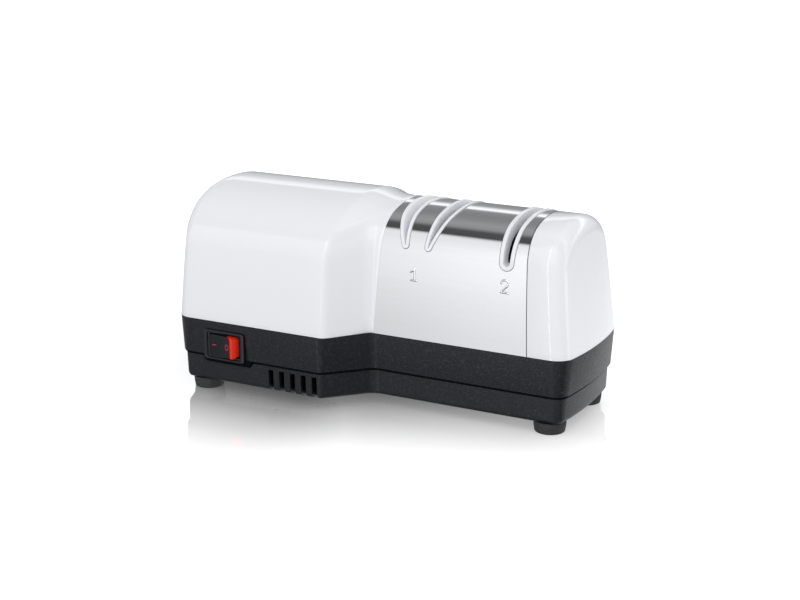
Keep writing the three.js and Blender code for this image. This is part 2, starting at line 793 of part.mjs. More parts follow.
// The red rocker carries a black panel on its dished front
const flankSteps = 5;
function buildRocker() {
  const { x, z, rocker } = rockerSwitch;
  const radius = rockerRadius;
  const seated = (geometry) => moved(geometry.rotateZ(-pivot.tilt), [x, pivotY, z]);
  const flank = (from, to) =>
    Array.from({ length: flankSteps + 1 }, (_, i) => {
      const angle = from + ((to - from) * i) / flankSteps;
      return [radius * Math.cos(angle), -radius * Math.sin(angle)];
    });
  const profile = (outline) => {
    const shape = new THREE.Shape(outline.map(([across, inward]) => new THREE.Vector2(across, inward)));
    const geometry = new THREE.ExtrudeGeometry(shape, { depth: rocker[1], bevelEnabled: false });
    return seated(geometry.translate(0, 0, -rocker[1] / 2));
  };
  const face = roundedRectangle(2 * radius, rocker[1], rockerForm.corner);
  const rounded = seated(
    ringSkin([-radius, radius].map((out) => face.map(([across, up]) => [across, up, out]))).rotateX(quarter),
  );
  const tip = rockerForm.tipAngle;
  const rise = radius * Math.sin(tip);
  const ledge = Math.asin((rise - rockerForm.panel) / radius);
  const middle = rise - rockerForm.dip;
  const body = profile([
    ...flank(0, ledge),
    [0, rockerForm.panel - middle],
    ...flank(Math.PI - ledge, Math.PI),
    [-radius * rockerForm.heelShare, rockerForm.heel],
    [radius * rockerForm.heelShare, rockerForm.heel],
  ]);
  const trunnions = rodAlongZ(pivot.pin, rocker[1] + 2 * pivot.pinLength, [x, pivotY, z], 16);
  add('switch_rocker', body.intersect(rounded).add(trunnions), red);

  // The dish is half a wave deep between the two tips
  const half = radius * Math.cos(tip);
  const dish = Array.from({ length: 2 * flankSteps + 1 }, (_, i) => {
    const across = half - (half * i) / flankSteps;
    return [across, rockerForm.dip * Math.cos((quarter * across) / half) - rise];
  });
  const panel = profile([
    ...dish,
    [-radius * Math.cos(ledge), rockerForm.panel - rise],
    [0, rockerForm.panel - middle],
    [radius * Math.cos(ledge), rockerForm.panel - rise],
  ]);
  add('rocker_panel', panel.intersect(rounded), black);
}

// Cord bush in the back wall: a moulded sleeve that lines the cable hole. Its collar stands as far
// out behind as the rocker does in front.
function buildCordBush() {
  const backY = motorDepth / 2 - faceInsetAt(cordBush.z + cordBush.flange) + fit / 2;
  const proud = rockerReach - backY;
  const outline = [
    [cordBush.bore, -cordBush.length],
    [cordBush.neck, -cordBush.length],
    [cordBush.neck, 0],
    [cordBush.flange, 0],
    [cordBush.flange, proud - cordBush.edge],
    [cordBush.flange - cordBush.edge, proud],
    [cordBush.bore, proud],
    [cordBush.bore, -cordBush.length],
  ];
  add('cord_bush', turned(outline, [cordBush.x, backY, cordBush.z], [0, 0, 0], 16), rubber);
}

// Motor: a two pole laminated core, its coils, the armature and brush gear
const coil = { side: 8, end: 8.5, clear: 0.4 };
const coreFrom = leftCornerX + core.fromCorner;
const coreX = coreFrom + core.length / 2;
const coreTo = coreFrom + core.length;

function buildCore() {
  const centre = [coreX, 0, shaftHeight];
  const block = box([core.length, core.width, coreHeight], centre);
  const cavity = box([core.length * 2, core.width - 2 * core.yoke, coreHeight - 2 * core.yoke], centre);
  const neck = box([core.length, core.neck, coreHeight - core.yoke], centre);
  const shoes = rodAlongX(core.bore + core.shoe, core.length, centre, 24).intersect(
    box([core.length * 2, core.poles, coreHeight], centre),
  );
  const gap = box([core.length * 2, core.width - 2 * core.yoke, core.bore], centre);
  const iron = block.subtract(cavity).add(neck.add(shoes).subtract(gap));
  add('motor_core', iron.subtract(rodAlongX(core.bore, core.length * 2, centre, 24)), darkSteel);

  const inner = core.bore + core.shoe + coil.clear;
  const outer = coreHeight / 2 - core.yoke - coil.clear;
  const height = outer - inner;
  for (const [name, side] of [['upper', 1], ['lower', -1]]) {
    const at = [coreX, 0, shaftHeight + (side * (inner + outer)) / 2];
    const hole = box([core.length + 2 * coil.clear, core.neck + 2 * coil.clear, height * 2], at);
    const radius = coil.side;
    const reachX = core.length / 2 + coil.end - radius;
    const reachY = core.neck / 2 + coil.side - radius;
    const hull = box([2 * (reachX + radius), 2 * reachY, height], at).add(
      box([2 * reachX, 2 * (reachY + radius), height], at),
    );
    const corners = [[1, 1], [1, -1], [-1, 1], [-1, -1]].reduce(
      (body, [sx, sy]) =>
        body.add(rodAlongZ(radius, height, [at[0] + sx * reachX, sy * reachY, at[2]], 16)),
      hull,
    );
    add(`field_coil_${name}`, corners.subtract(hole), copper);
  }
}

const shaft = { radius: 3, fromCorner: 2, stub: 1.5 };
const armature = {
  radius: 14.8,
  hole: 9,
  slots: 12,
  slotWidth: 2.2,
  slotDepth: 4.5,
  windings: 12.5,
  windingEnd: 7,
};
const commutator = { radius: 9, riser: 11, riserLength: 2.4, length: 12, gap: 1 };

function buildArmature() {
  const centre = [coreX, 0, shaftHeight];
  let drum = rodAlongX(armature.radius, core.length, centre, 28);
  drum = drum.subtract(rodAlongX(armature.hole, core.length * 2, centre, 24));
  for (let i = 0; i < armature.slots; i += 1) {
    const angle = (2 * Math.PI * i) / armature.slots;
    const reach = armature.radius - armature.slotDepth / 2 + overrun / 2;
    const at = [coreX, reach * Math.cos(angle), shaftHeight + reach * Math.sin(angle)];
    drum = drum.subtract(
      box([core.length * 2, armature.slotDepth + overrun, armature.slotWidth], at, [angle, 0, 0]),
    );
  }
  add('armature_core', drum, darkSteel);

  const bore = shaft.radius + fit / 2;
  const half = core.length / 2 + fit / 2;
  const end = half + armature.windingEnd;
  const round = armature.windingEnd / 2;
  const outline = [
    [bore, -end],
    [armature.windings - round, -end],
    [armature.windings, -end + round],
    [armature.windings, -half],
    [armature.hole - fit / 2, -half],
    [armature.hole - fit / 2, half],
    [armature.windings, half],
    [armature.windings, end - round],
    [armature.windings - round, end],
    [bore, end],
    [bore, -end],
  ];
  add('armature_winding', turned(outline, centre, alongX, 16), copper);

  const start = coreX + end + commutator.gap;
  const profile = [
    [bore, 0],
    [commutator.riser, 0],
    [commutator.riser, commutator.riserLength],
    [commutator.radius, commutator.riserLength],
    [commutator.radius, commutator.length],
    [bore, commutator.length],
    [bore, 0],
  ];
  add('commutator', turned(profile, [start, 0, shaftHeight], alongX, 18), copper);
  return start + (commutator.length + commutator.riserLength) / 2;
}

// Bearings and the brackets that carry them
const bush = { radius: 5.2, length: 7, clear: 0.08 };
const bracket = { thick: 3, width: 14, legY: 25, legThick: 3, offset: 12.5, rightOffset: 26, boss: 8 };

function buildBush(name, x) {
  const outline = [
    [shaft.radius + bush.clear, -bush.length / 2],
    [bush.radius, -bush.length / 2],
    [bush.radius, bush.length / 2],
    [shaft.radius + bush.clear, bush.length / 2],
    [shaft.radius + bush.clear, -bush.length / 2],
  ];
  add(name, turned(outline, [x, 0, shaftHeight], alongX, 14), brass);
}

function buildBracket(name, plateX, coreFace) {
  const side = Math.sign(coreFace - plateX);
  const far = plateX - (side * bracket.thick) / 2;
  const near = coreFace - side * fit;
  const plate = box([bracket.thick, 2 * bracket.legY, bracket.width], [plateX, 0, shaftHeight]);
  const legs = [-1, 1].map((y) =>
    box(
      [Math.abs(near - far), bracket.legThick, bracket.width],
      [(near + far) / 2, y * (bracket.legY + bracket.legThick / 2 - overrun / 2), shaftHeight],
    ),
  );
  const housing = rodAlongX(bracket.boss, bush.length, [plateX, 0, shaftHeight], 18);
  const hole = rodAlongX(bush.radius + fit / 2, bush.length * 2, [plateX, 0, shaftHeight], 18);
  add(name, plate.add(legs[0]).add(legs[1]).add(housing).subtract(hole), darkSteel);
}

const brush = { size: 5, length: 13, holder: 1.2, holderLength: 14 };
function buildBrushes(x) {
  for (const [name, side] of [['front', -1], ['back', 1]]) {
    const start = commutator.radius + fit;
    add(
      `carbon_brush_${name}`,
      box([brush.size, brush.length, brush.size], [x, side * (start + brush.length / 2), shaftHeight]),
      rubber,
    );
    const outer = brush.size + 2 * (fit / 2 + brush.holder);
    const inner = brush.size + fit;
    const end = bracket.legY - overrun / 2 - fit;
    const from = end - brush.holderLength + overrun;
    const at = [x, (side * (from + end)) / 2, shaftHeight];
    const tube = box([outer, end - from, outer], at).subtract(box([inner, end, inner], at));
    add(`brush_holder_${name}`, tube, brass);
  }
}

// Cooling fan on the left end of the shaft
const fan = { radius: 26, hub: 8, disc: 1.6, blades: 10, bladeHeight: 7, bladeThick: 1.4, gap: 4 };
function buildFan(bracketX) {
  const x = bracketX - bush.length / 2 - fan.gap - fan.disc / 2;
  const centre = [x, 0, shaftHeight];
  let body = rodAlongX(fan.radius, fan.disc, centre, 24);
  const hubX = x - (fan.bladeHeight + fan.disc) / 2 + fan.disc / 2;
  body = body.add(rodAlongX(fan.hub, fan.bladeHeight + fan.disc, [hubX, 0, shaftHeight], 14));
  for (let i = 0; i < fan.blades; i += 1) {
    const angle = (2 * Math.PI * i) / fan.blades;
    const inner = fan.hub - overrun;
    const reach = (fan.radius - fit + inner) / 2;
    const span = fan.radius - fit - inner;
    const at = [hubX, reach * Math.cos(angle), shaftHeight + reach * Math.sin(angle)];
    body = body.add(box([fan.bladeHeight + fan.disc, span, fan.bladeThick], at, [angle, 0, 0]));
  }
  body = body.subtract(rodAlongX(shaft.radius + fit / 2, fan.bladeHeight * 4, centre, 16));
  add('cooling_fan', body, black);
}

// Coarse stage: two dished abrasive wheels on the drive shaft, pushed apart by a spring against clips
const clip = { radius: 5, thick: 0.8 };
const spring = { radius: 5, wire: 1.1, turns: 4, sides: 3, stepsPerTurn: 8 };

function buildCoarseStage() {
  const bore = shaft.radius + fit / 2;
  const outline = [
    [bore, wheel.hubFrom],
    [wheel.hub, wheel.hubFrom],
    [wheel.radius - wheel.rim, wheel.rimFrom],
    [wheel.radius, wheel.rimFrom],
    [wheel.radius, wheel.rimFrom + wheel.rim - wheel.cone],
    [wheel.radius - wheel.rim, wheel.rimFrom + wheel.rim],
    [wheel.hub, wheel.hubFrom + wheel.hubLength],
    [bore, wheel.hubFrom + wheel.hubLength],
    [bore, wheel.hubFrom],
  ];
  for (const [name, side] of [['left', -1], ['right', 1]]) {
    const at = [coarseMiddleX, 0, shaftHeight];
    const turn = side > 0 ? alongX : [0, 0, quarter];
    add(`coarse_wheel_${name}`, turned(outline, at, turn, 24), abrasive);
    const start = wheel.hubFrom + wheel.hubLength + fit / 2;
    const ring = [
      [shaft.radius + fit / 2, start],
      [clip.radius, start],
      [clip.radius, start + clip.thick],
      [shaft.radius + fit / 2, start + clip.thick],
      [shaft.radius + fit / 2, start],
    ];
    add(`shaft_clip_${name}`, turned(ring, at, turn, 12), darkSteel);
  }
  add('wheel_spring', springSolid(), darkSteel);
}

class Helix extends THREE.Curve {
  constructor(radius, from, to, turns) {
    super();
    Object.assign(this, { radius, from, to, turns });
  }
  getPoint(t, target = new THREE.Vector3()) {
    const angle = 2 * Math.PI * this.turns * t;
    return target.set(
      this.from + (this.to - this.from) * t,
      this.radius * Math.cos(angle),
      this.radius * Math.sin(angle),
    );
  }
}

function springSolid() {
  const reach = wheel.hubFrom - spring.wire / 2 - fit / 2;
  const path = new Helix(spring.radius, -reach, reach, spring.turns);
  const wire = new THREE.Shape();
  wire.absarc(0, 0, spring.wire / 2, 0, 2 * Math.PI, false);
  const geometry = new THREE.ExtrudeGeometry(wire, {
    steps: spring.turns * spring.stepsPerTurn,
    curveSegments: spring.sides,
    bevelEnabled: false,
    extrudePath: path,
  });
  return moved(geometry, [coarseMiddleX, 0, shaftHeight]);
}

const post = { thick: 5, width: 26, boss: 9, gap: 2.5 };
function buildPost(x) {
  const bottom = footHeight + pan.floor + fit / 2;
  const height = shaftHeight - bottom;
  const plate = box([post.thick, post.width, height], [x, 0, bottom + height / 2]);
  const cap = rodAlongX(post.width / 2, post.thick, [x, 0, shaftHeight], 40);
  const hole = rodAlongX(bush.radius + fit / 2, post.thick * 3, [x, 0, shaftHeight], 24);
  add('shaft_post', plate.add(cap).subtract(hole), black);
}

function buildDriveTrain() {
  buildCore();
  const brushX = buildArmature();
  const leftBracketX = coreFrom - bracket.offset;
  const rightBracketX = coreTo + bracket.rightOffset;
  buildBracket('bearing_bracket_left', leftBracketX, coreFrom);
  buildBracket('bearing_bracket_right', rightBracketX, coreTo);
  buildBush('bearing_left', leftBracketX);
  buildBush('bearing_middle', rightBracketX);
  buildBrushes(brushX);
  buildFan(leftBracketX);
  const postX = coarseMiddleX + wheel.hubFrom + wheel.hubLength + clip.thick + post.gap + bush.length / 2;
  buildPost(postX);
  buildBush('bearing_right', postX);
  const shaftFrom = leftCornerX + shaft.fromCorner;
  const shaftTo = postX + bush.length / 2 + shaft.stub;
  const shaftMiddle = [(shaftTo + shaftFrom) / 2, 0, shaftHeight];
  add('drive_shaft', rodAlongX(shaft.radius, shaftTo - shaftFrom, shaftMiddle, 16), steel);
  buildCoarseStage();
}

// Fine stage: two rows of abrasive discs on parallel axles, interleaved, in a moulded frame
const disc = { radius: 9, thick: 2.6, pitch: 3, perLeft: 4, perRight: 3 };
const fineAxle = { radius: 2, offset: 6, belowSlot: 5.3, reach: 16.4 };
const fineAxleZ = knifeSlots.fine.z - fineAxle.belowSlot;
const fineFrame = { plateFrom: 13.2, plate: 2.2, width: 27, above: 4, web: 3, webBelow: 13 };

function buildFineStage() {
  for (const [name, side, count] of [['left', -1, disc.perLeft], ['right', 1, disc.perRight]]) {
    const x = fineX + side * fineAxle.offset;
    add(
      `fine_axle_${name}`,
      rodAlongY(fineAxle.radius, 2 * fineAxle.reach, [x, 0, fineAxleZ], 14),
      steel,
    );
    for (let i = 0; i < count; i += 1) {
      const y = (i - (count - 1) / 2) * 2 * disc.pitch;
      const ring = rodAlongY(disc.radius, disc.thick, [x, y, fineAxleZ], 20).subtract(
        rodAlongY(fineAxle.radius + fit / 2, disc.thick * 2, [x, y, fineAxleZ], 10),
      );
      add(`fine_disc_${name}_${i + 1}`, ring, abrasive);
    }
  }
  const bottom = footHeight + pan.floor + fit / 2;
  const top = fineAxleZ + fineFrame.above;
  const webTop = fineAxleZ - fineFrame.webBelow;
  const inner = fineFrame.plateFrom;
  const plates = [-1, 1].map((side) =>
    box(
      [fineFrame.width, fineFrame.plate, top - bottom],
      [fineX, side * (inner + fineFrame.plate / 2), (top + bottom) / 2],
    ),
  );
  const web = box(
    [fineFrame.web, 2 * inner + fineFrame.plate, webTop - bottom],
    [fineX, 0, (webTop + bottom) / 2],
  );
  let frame = plates[0].add(plates[1]).add(web);
  for (const side of [-1, 1]) {
    frame = frame.subtract(
      rodAlongY(fineAxle.radius + fit / 2, inner * 4, [fineX + side * fineAxle.offset, 0, fineAxleZ], 14),
    );
  }
  add('fine_frame', frame, black);
}

buildMotorHousing();
buildEndCap();
buildGuideShells();
buildKnifeGuides();
buildBaseFrame();
buildBasePan();
buildFeet();
buildSwitchBody();
buildRocker();
buildCordBush();
buildDriveTrain();
buildFineStage();

export default sharpener;
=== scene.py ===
"""Looks of an electric knife sharpener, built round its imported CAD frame."""

import json
import math

import bmesh
import bpy
from bpy.props import FloatProperty, FloatVectorProperty, IntProperty, PointerProperty
from mathutils import Matrix, Vector


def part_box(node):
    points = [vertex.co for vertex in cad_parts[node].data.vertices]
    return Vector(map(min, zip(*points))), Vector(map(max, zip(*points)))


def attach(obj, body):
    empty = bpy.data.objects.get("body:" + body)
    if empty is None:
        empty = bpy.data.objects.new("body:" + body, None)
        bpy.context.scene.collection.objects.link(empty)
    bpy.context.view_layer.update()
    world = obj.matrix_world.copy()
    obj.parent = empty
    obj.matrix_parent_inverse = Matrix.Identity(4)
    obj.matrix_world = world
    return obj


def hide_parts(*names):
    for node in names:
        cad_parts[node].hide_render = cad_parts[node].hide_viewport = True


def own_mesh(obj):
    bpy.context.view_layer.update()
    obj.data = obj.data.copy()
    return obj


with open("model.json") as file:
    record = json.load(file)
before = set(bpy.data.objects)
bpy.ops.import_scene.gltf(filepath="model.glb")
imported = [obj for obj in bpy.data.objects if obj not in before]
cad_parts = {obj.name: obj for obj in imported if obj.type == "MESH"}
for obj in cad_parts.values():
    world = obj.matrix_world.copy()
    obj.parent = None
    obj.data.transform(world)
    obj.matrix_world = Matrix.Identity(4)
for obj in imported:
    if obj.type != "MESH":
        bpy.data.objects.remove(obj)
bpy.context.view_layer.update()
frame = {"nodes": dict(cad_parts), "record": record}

bl_info = {
    "name": "Knife sharpener looks",
    "version": (1, 0, 0),
    "blender": (4, 5, 0),
    "location": "View3D > Sidebar > Sharpener",
    "description": "Shells, blade guides, switch, feet, finishes and stage of a countertop knife sharpener",
    "category": "Object",
}

QUARTER = math.pi / 2


# Sizes and colours


def span(name, note, value, top=1.0):
    return FloatProperty(name=name, description=note, default=value, min=0, max=top, unit="LENGTH", precision=5)


def turn(name, note, degrees):
    return FloatProperty(name=name, description=note, default=math.radians(degrees), subtype="ANGLE")


def share(name, note, value):
    return FloatProperty(name=name, description=note, default=value, min=0, max=1, subtype="FACTOR")


def count(name, note, value):
    return IntProperty(name=name, description=note, default=value, min=2, max=200)


def tint(name, note, value):
    return FloatVectorProperty(name=name, description=note, default=value, size=3, min=0, max=1, subtype="COLOR")


class ShellSizes(bpy.types.PropertyGroup):
    motor_depth: span("Motor depth", "Front to back of the motor housing at its seam", 0.1096)
    guide_depth: span("Guide depth", "Front to back of the sharpening section at its seam", 0.0694)
    guide_top: span("Guide top", "Height of the steel's crown", 0.1007)
    top_step: span("Top step", "How far the motor housing stands over the steel", 0.0024)
    seam: span("Seam height", "Height of the parting line between white and black", 0.0389)
    motor_length: span("Motor length", "Left corner to knee", 0.0822)
    neck_length: span("Neck length", "Knee to steel", 0.0192)
    steel_length: span("Steel length", "Length of the steel at the seam", 0.082)
    cap_length: span("Cap length", "Steel to right corner", 0.01905)
    left_bow: span("Left bow", "How far the left end bows out", 0.012)
    right_bow: span("Right bow", "How far the right end bows out", 0.0034)
    fit: span("Fit", "Gap between neighbouring mouldings", 0.0003)
    wall: span("Wall", "Thickness of the mouldings", 0.0025)
    soft: span("Soft edge", "Rounding of the white mouldings' cut edges", 0.00025)
    steel_wall: span("Steel thickness", "Thickness of the steel sheet", 0.0008)
    left_edge: span("Left edge radius", "Rounding round the left end", 0.005)
    right_edge: span("Right edge radius", "Rounding round the right end", 0.0075)
    knee_edge: span("Knee radius", "Rounding of the base's knee in plan", 0.006)
    neck_edge: span("Neck radius", "Rounding of the base's neck in plan", 0.005)
    left_tuck: span("Left tuck", "How far the left end's crown is tucked in", 0.0032)
    left_power: FloatProperty(name="Left power", description="Flatness of the left bow, 2 is a parabola", default=2.6)
    left_lean: FloatProperty(name="Left lean", description="Slope of the left end", default=0.092)
    right_lean: FloatProperty(name="Right lean", description="Slope of the right end", default=0.115)
    # The strip at the steel's right end is darkened steel, a painted shade line where the cap meets the steel
    steel_hem: span("Steel hem", "Width of the dark edge turned in at the steel's right end", 0.00032)
    steel_slope: FloatProperty(name="Steel slope", description="Slope of the steel's side edges", default=0.053)
    arch_steps: count("Arch steps", "Facets along a third of half the arch", 14)


class SlotSizes(bpy.types.PropertyGroup):
    coarse_mouth: span("Coarse mouth", "Clear width of a slanted slot at the crown", 0.0056)
    coarse_toe: span("Coarse toe", "Clear width of a slanted slot at its lower end", 0.0006)
    fine_mouth: span("Fine mouth", "Clear width of the upright slot at the crown", 0.0057)
    fine_toe: span("Fine toe", "Clear width of the upright slot at its lower end", 0.0043)
    rim: span("Rim", "Width of the white rim round a slot", 0.0015)
    # Below this depth a slot's walls are dark plastic: painted shade for the slot's dark depths
    chute: span("Chute", "Depth at which the dark inner chute starts", 0.0054)
    lip: span("Lip", "How far the rim's inner edge stands into the slot", 0.0005)
    rim_edge: span("Rim edge", "Rounding of the rim's edges", 0.00045)
    proud: span("Proud", "How far the rim stands over the steel", 0.0006)
    depth: span("Depth", "How far the guide reaches inwards", 0.012)
    coarse_from_edge: span("Coarse place", "Left steel edge to the middle of the coarse slots", 0.02175)
    coarse_half_gap: span("Coarse half gap", "Middle of the stage to a slot's lower end", 0.0057)
    coarse_tilt: turn("Coarse tilt", "Lean of the coarse slots", 13.2)
    coarse_end: span("Coarse end", "Crown to the lower ends of the coarse slots", 0.0179)
    fine_from_edge: span("Fine place", "Right steel edge to the fine slot", 0.0128)
    fine_end: span("Fine end", "Crown to the lower end of the fine slot", 0.0224)
    numeral_height: span("Numeral height", "Height of the raised stage numbers", 0.0059)
    numeral_stroke: span("Numeral stroke", "Width of a number's line", 0.001)
    numeral_raise: span("Numeral raise", "How far the numbers stand out", 0.00035)


class BaseSizes(bpy.types.PropertyGroup):
    groove: span("Groove height", "Height of the groove between band and pan", 0.0193)
    foot: span("Foot height", "Height of the feet", 0.0056)
    taper: span("Band taper", "Inward lean of the band over its height", 0.0013)
    lip: span("Lip", "Chamfer over the groove", 0.0011)
    lip_height: span("Lip height", "Height of that chamfer", 0.0012)
    top_edge: span("Top edge", "Rounding of the band's upper edge", 0.0003)
    cord_hole: span("Cord hole", "Radius of the hole for the cord bush", 0.00495)
    cord_from_corner: span("Cord place", "Left corner to the cord hole", 0.024)
    cord_below_seam: span("Cord height", "Seam to the middle of the cord hole", 0.0099)
    pan_step: span("Pan step", "How far the pan is set in", 0.0026)
    pan_taper: span("Pan taper", "Inward lean of the pan", 0.0004)
    pan_edge: span("Pan edge", "Rounding under the pan", 0.003)
    pan_top_edge: span("Pan top edge", "Rounding of the pan's upper edge", 0.0004)
    pan_floor: span("Pan floor", "Thickness of the floor", 0.0024)
    tab_width: span("Tab width", "Width of the tab under the switch", 0.028)
    tab_offset: span("Tab offset", "Switch middle to tab middle", 0.0014)
    tab_corner: span("Tab corner", "Rounding of the tab's lower corners", 0.002)
    tab_below: span("Tab drop", "How far the tab reaches under the groove", 0.0023)
    vents: count("Vents", "Number of vent slots on a side", 5)
    vent_pitch: span("Vent pitch", "Distance between vent slots", 0.00628)
    vent_width: span("Vent width", "Width of a vent slot", 0.0029)
    vent_reach: span("Vent depth", "How far a vent slot reaches in from the wall", 0.009)
    vent_below_groove: span("Vent top", "Groove to the upper end of a vent slot", 0.0022)
    vent_from_knee: span("Vent place", "Knee to the first vent slot", 0.0048)
    foot_radius: span("Foot radius", "Radius of a foot", 0.008)
    foot_left: span("Left feet", "Left corner to the left feet", 0.0088)
    foot_right: span("Right feet", "Right corner to the right feet", 0.011)
    foot_left_in: span("Left feet inset", "Front face to the left feet", 0.0118)
    foot_right_in: span("Right feet inset", "Front face to the right feet", 0.0113)


class SwitchSizes(bpy.types.PropertyGroup):
    from_corner: span("Switch place", "Left corner to the switch", 0.02665)
    below_seam: span("Switch height", "Seam to the middle of the switch", 0.01225)
    bezel_width: span("Bezel width", "Width of the bezel", 0.0239)
    bezel_height: span("Bezel height", "Height of the bezel", 0.0155)
    bezel_corner: span("Bezel corner", "Rounding of the bezel's corners", 0.0014)
    flange: span("Flange", "Thickness of the bezel", 0.001)
    body_width: span("Body width", "Width of the body behind the bezel", 0.021)
    body_height: span("Body height", "Height of the body behind the bezel", 0.013)
    body_depth: span("Body depth", "How far the body reaches behind the wall", 0.019)
    rocker_width: span("Rocker width", "Width of the rocker", 0.0172)
    rocker_height: span("Rocker height", "Height of the rocker", 0.0108)
    rocker_corner: span("Rocker corner", "Rounding of the rocker's corners", 0.002)
    dip: span("Dip", "Depth of the dish in the rocker's front", 0.0009)
    panel: span("Panel", "Thickness of the black panel at the rocker's tips", 0.0007)
    heel: span("Heel", "How far the rocker reaches behind its pivot", 0.004)
    heel_share: share("Heel width", "Width of the heel against the rocker's", 0.55)
    pin: span("Pin", "Radius of the rocker's trunnions", 0.0011)
    pin_length: span("Pin length", "How far a trunnion stands out", 0.0009)
    red_from: span("Red place", "Rocker's middle to where its body turns red", 0.0024)
    red_corner: span("Red corner", "Rounding of that edge's upper corner", 0.0008)
    panel_to: span("Panel place", "Rocker's middle to where its panel turns red", 0.0049)
    panel_corner: span("Panel corner", "Rounding of the panel's upper corner", 0.002)
    line: span("Mark line", "Width of the on mark's line", 0.00036)
    on_place: FloatProperty(name="On place", description="Rocker's middle to the on mark", default=-0.0051)
    on_width: span("On width", "Length of the on mark", 0.0025)
    off_place: FloatProperty(name="Off place", description="Rocker's middle to the off mark", default=0.0032)
    off_width: span("Off width", "Width of the off mark", 0.0025)
    off_height: span("Off height", "Height of the off mark", 0.003)
    pivot_depth: span("Pivot depth", "Bezel's face to the pivot", 0.0028)
    tilt: turn("Rocker tilt", "Tilt of the rocker at rest", 10)
    tip: turn("Tip angle", "Angle of the rocker's tips about the pivot", 28)


class Finishes(bpy.types.PropertyGroup):
    white: tint("White plastic", "Colour of the housings", (0.87, 0.88, 0.915))
    black: tint("Black plastic", "Colour of the base", (0.0155, 0.0163, 0.0208))
    rubber: tint("Rubber", "Colour of the feet", (0.018, 0.018, 0.019))
    steel: tint("Steel", "Colour of the steel sheet", (0.83, 0.83, 0.835))
    bright_steel: tint("Bright steel", "Colour of shafts", (0.6, 0.6, 0.61))
    dark_steel: tint("Laminations", "Colour of laminations and brackets", (0.26, 0.26, 0.27))
    abrasive: tint("Abrasive", "Colour of the abrasive wheels", (0.34, 0.31, 0.25))
    copper: tint("Copper", "Colour of enamelled wire", (0.6, 0.22, 0.07))
    brass: tint("Brass", "Colour of bearings and brush holders", (0.6, 0.42, 0.16))
    red: tint("Red", "Colour of the rocker's flank", (0.8, 0.026, 0.008))
    mark: tint("Mark", "Colour of the switch's marks", (0.5, 0.03, 0.07))


class StageSizes(bpy.types.PropertyGroup):
    azimuth: turn("Azimuth", "Direction of the camera round the object", 27.824)
    elevation: turn("Elevation", "Height of the camera over the horizon", 16.045)
    place: FloatVectorProperty(name="Camera", description="Place of the camera", size=3, unit="LENGTH",
                               default=(0.364125, -0.688016, 0.270217))
    lens: FloatProperty(name="Lens", description="Focal length in mm on a 36 mm sensor", default=71.296)
    floor: span("Floor", "Half the side of the floor", 4.0, 20)
    daylight: FloatProperty(name="Daylight", description="Strength of the white room", default=0.92)
    key: FloatProperty(name="Key light", description="Power of the key light", default=5.0)
    glow: FloatProperty(name="Glow", description="Own brightness of the floor to the eye", default=0.58)
    mirror_left: share("Left mirror", "Strength of the floor's reflection at the left", 0.95)
    mirror_right: share("Right mirror", "Strength of the floor's reflection at the right", 0.42)
    mirror_reach: span("Mirror reach", "Distance at which the reflection is gone", 0.122)


def sizes():
    scene = bpy.context.scene
    return scene.shell_sizes, scene.slot_sizes, scene.base_sizes, scene.switch_sizes


class Stations:
    """Places along X that the shells share."""

    def __init__(self):
        shell, _, base, switch = sizes()
        length = (shell.left_bow + shell.motor_length + shell.neck_length + shell.fit / 2
                  + shell.steel_length + shell.cap_length + shell.right_bow)
        self.left = -length / 2 + shell.left_bow
        self.knee = self.left + shell.motor_length
        self.neck = self.knee + shell.neck_length
        self.steel_left = self.neck + shell.fit / 2
        self.steel_right = self.steel_left + shell.steel_length
        self.right = self.steel_right + shell.cap_length
        self.switch_x = self.left + switch.from_corner
        self.switch_z = shell.seam - switch.below_seam
        self.tab_x = self.switch_x + base.tab_offset


def spread(start, end, steps):
    """Even steps from start to end, both with them."""
    return [start + (end - start) * i / steps for i in range(steps + 1)]


def circle(steps):
    """The angles of even steps round a circle."""
    return spread(0, 2 * math.pi, steps)[:-1]


def quarter(steps, first=0):
    """Pairs of 1 - sine and 1 - cosine over a quarter turn, from which rounded edges are made."""
    return [(1 - math.sin(angle), 1 - math.cos(angle)) for angle in spread(0, QUARTER, steps)[first:]]


# Arches


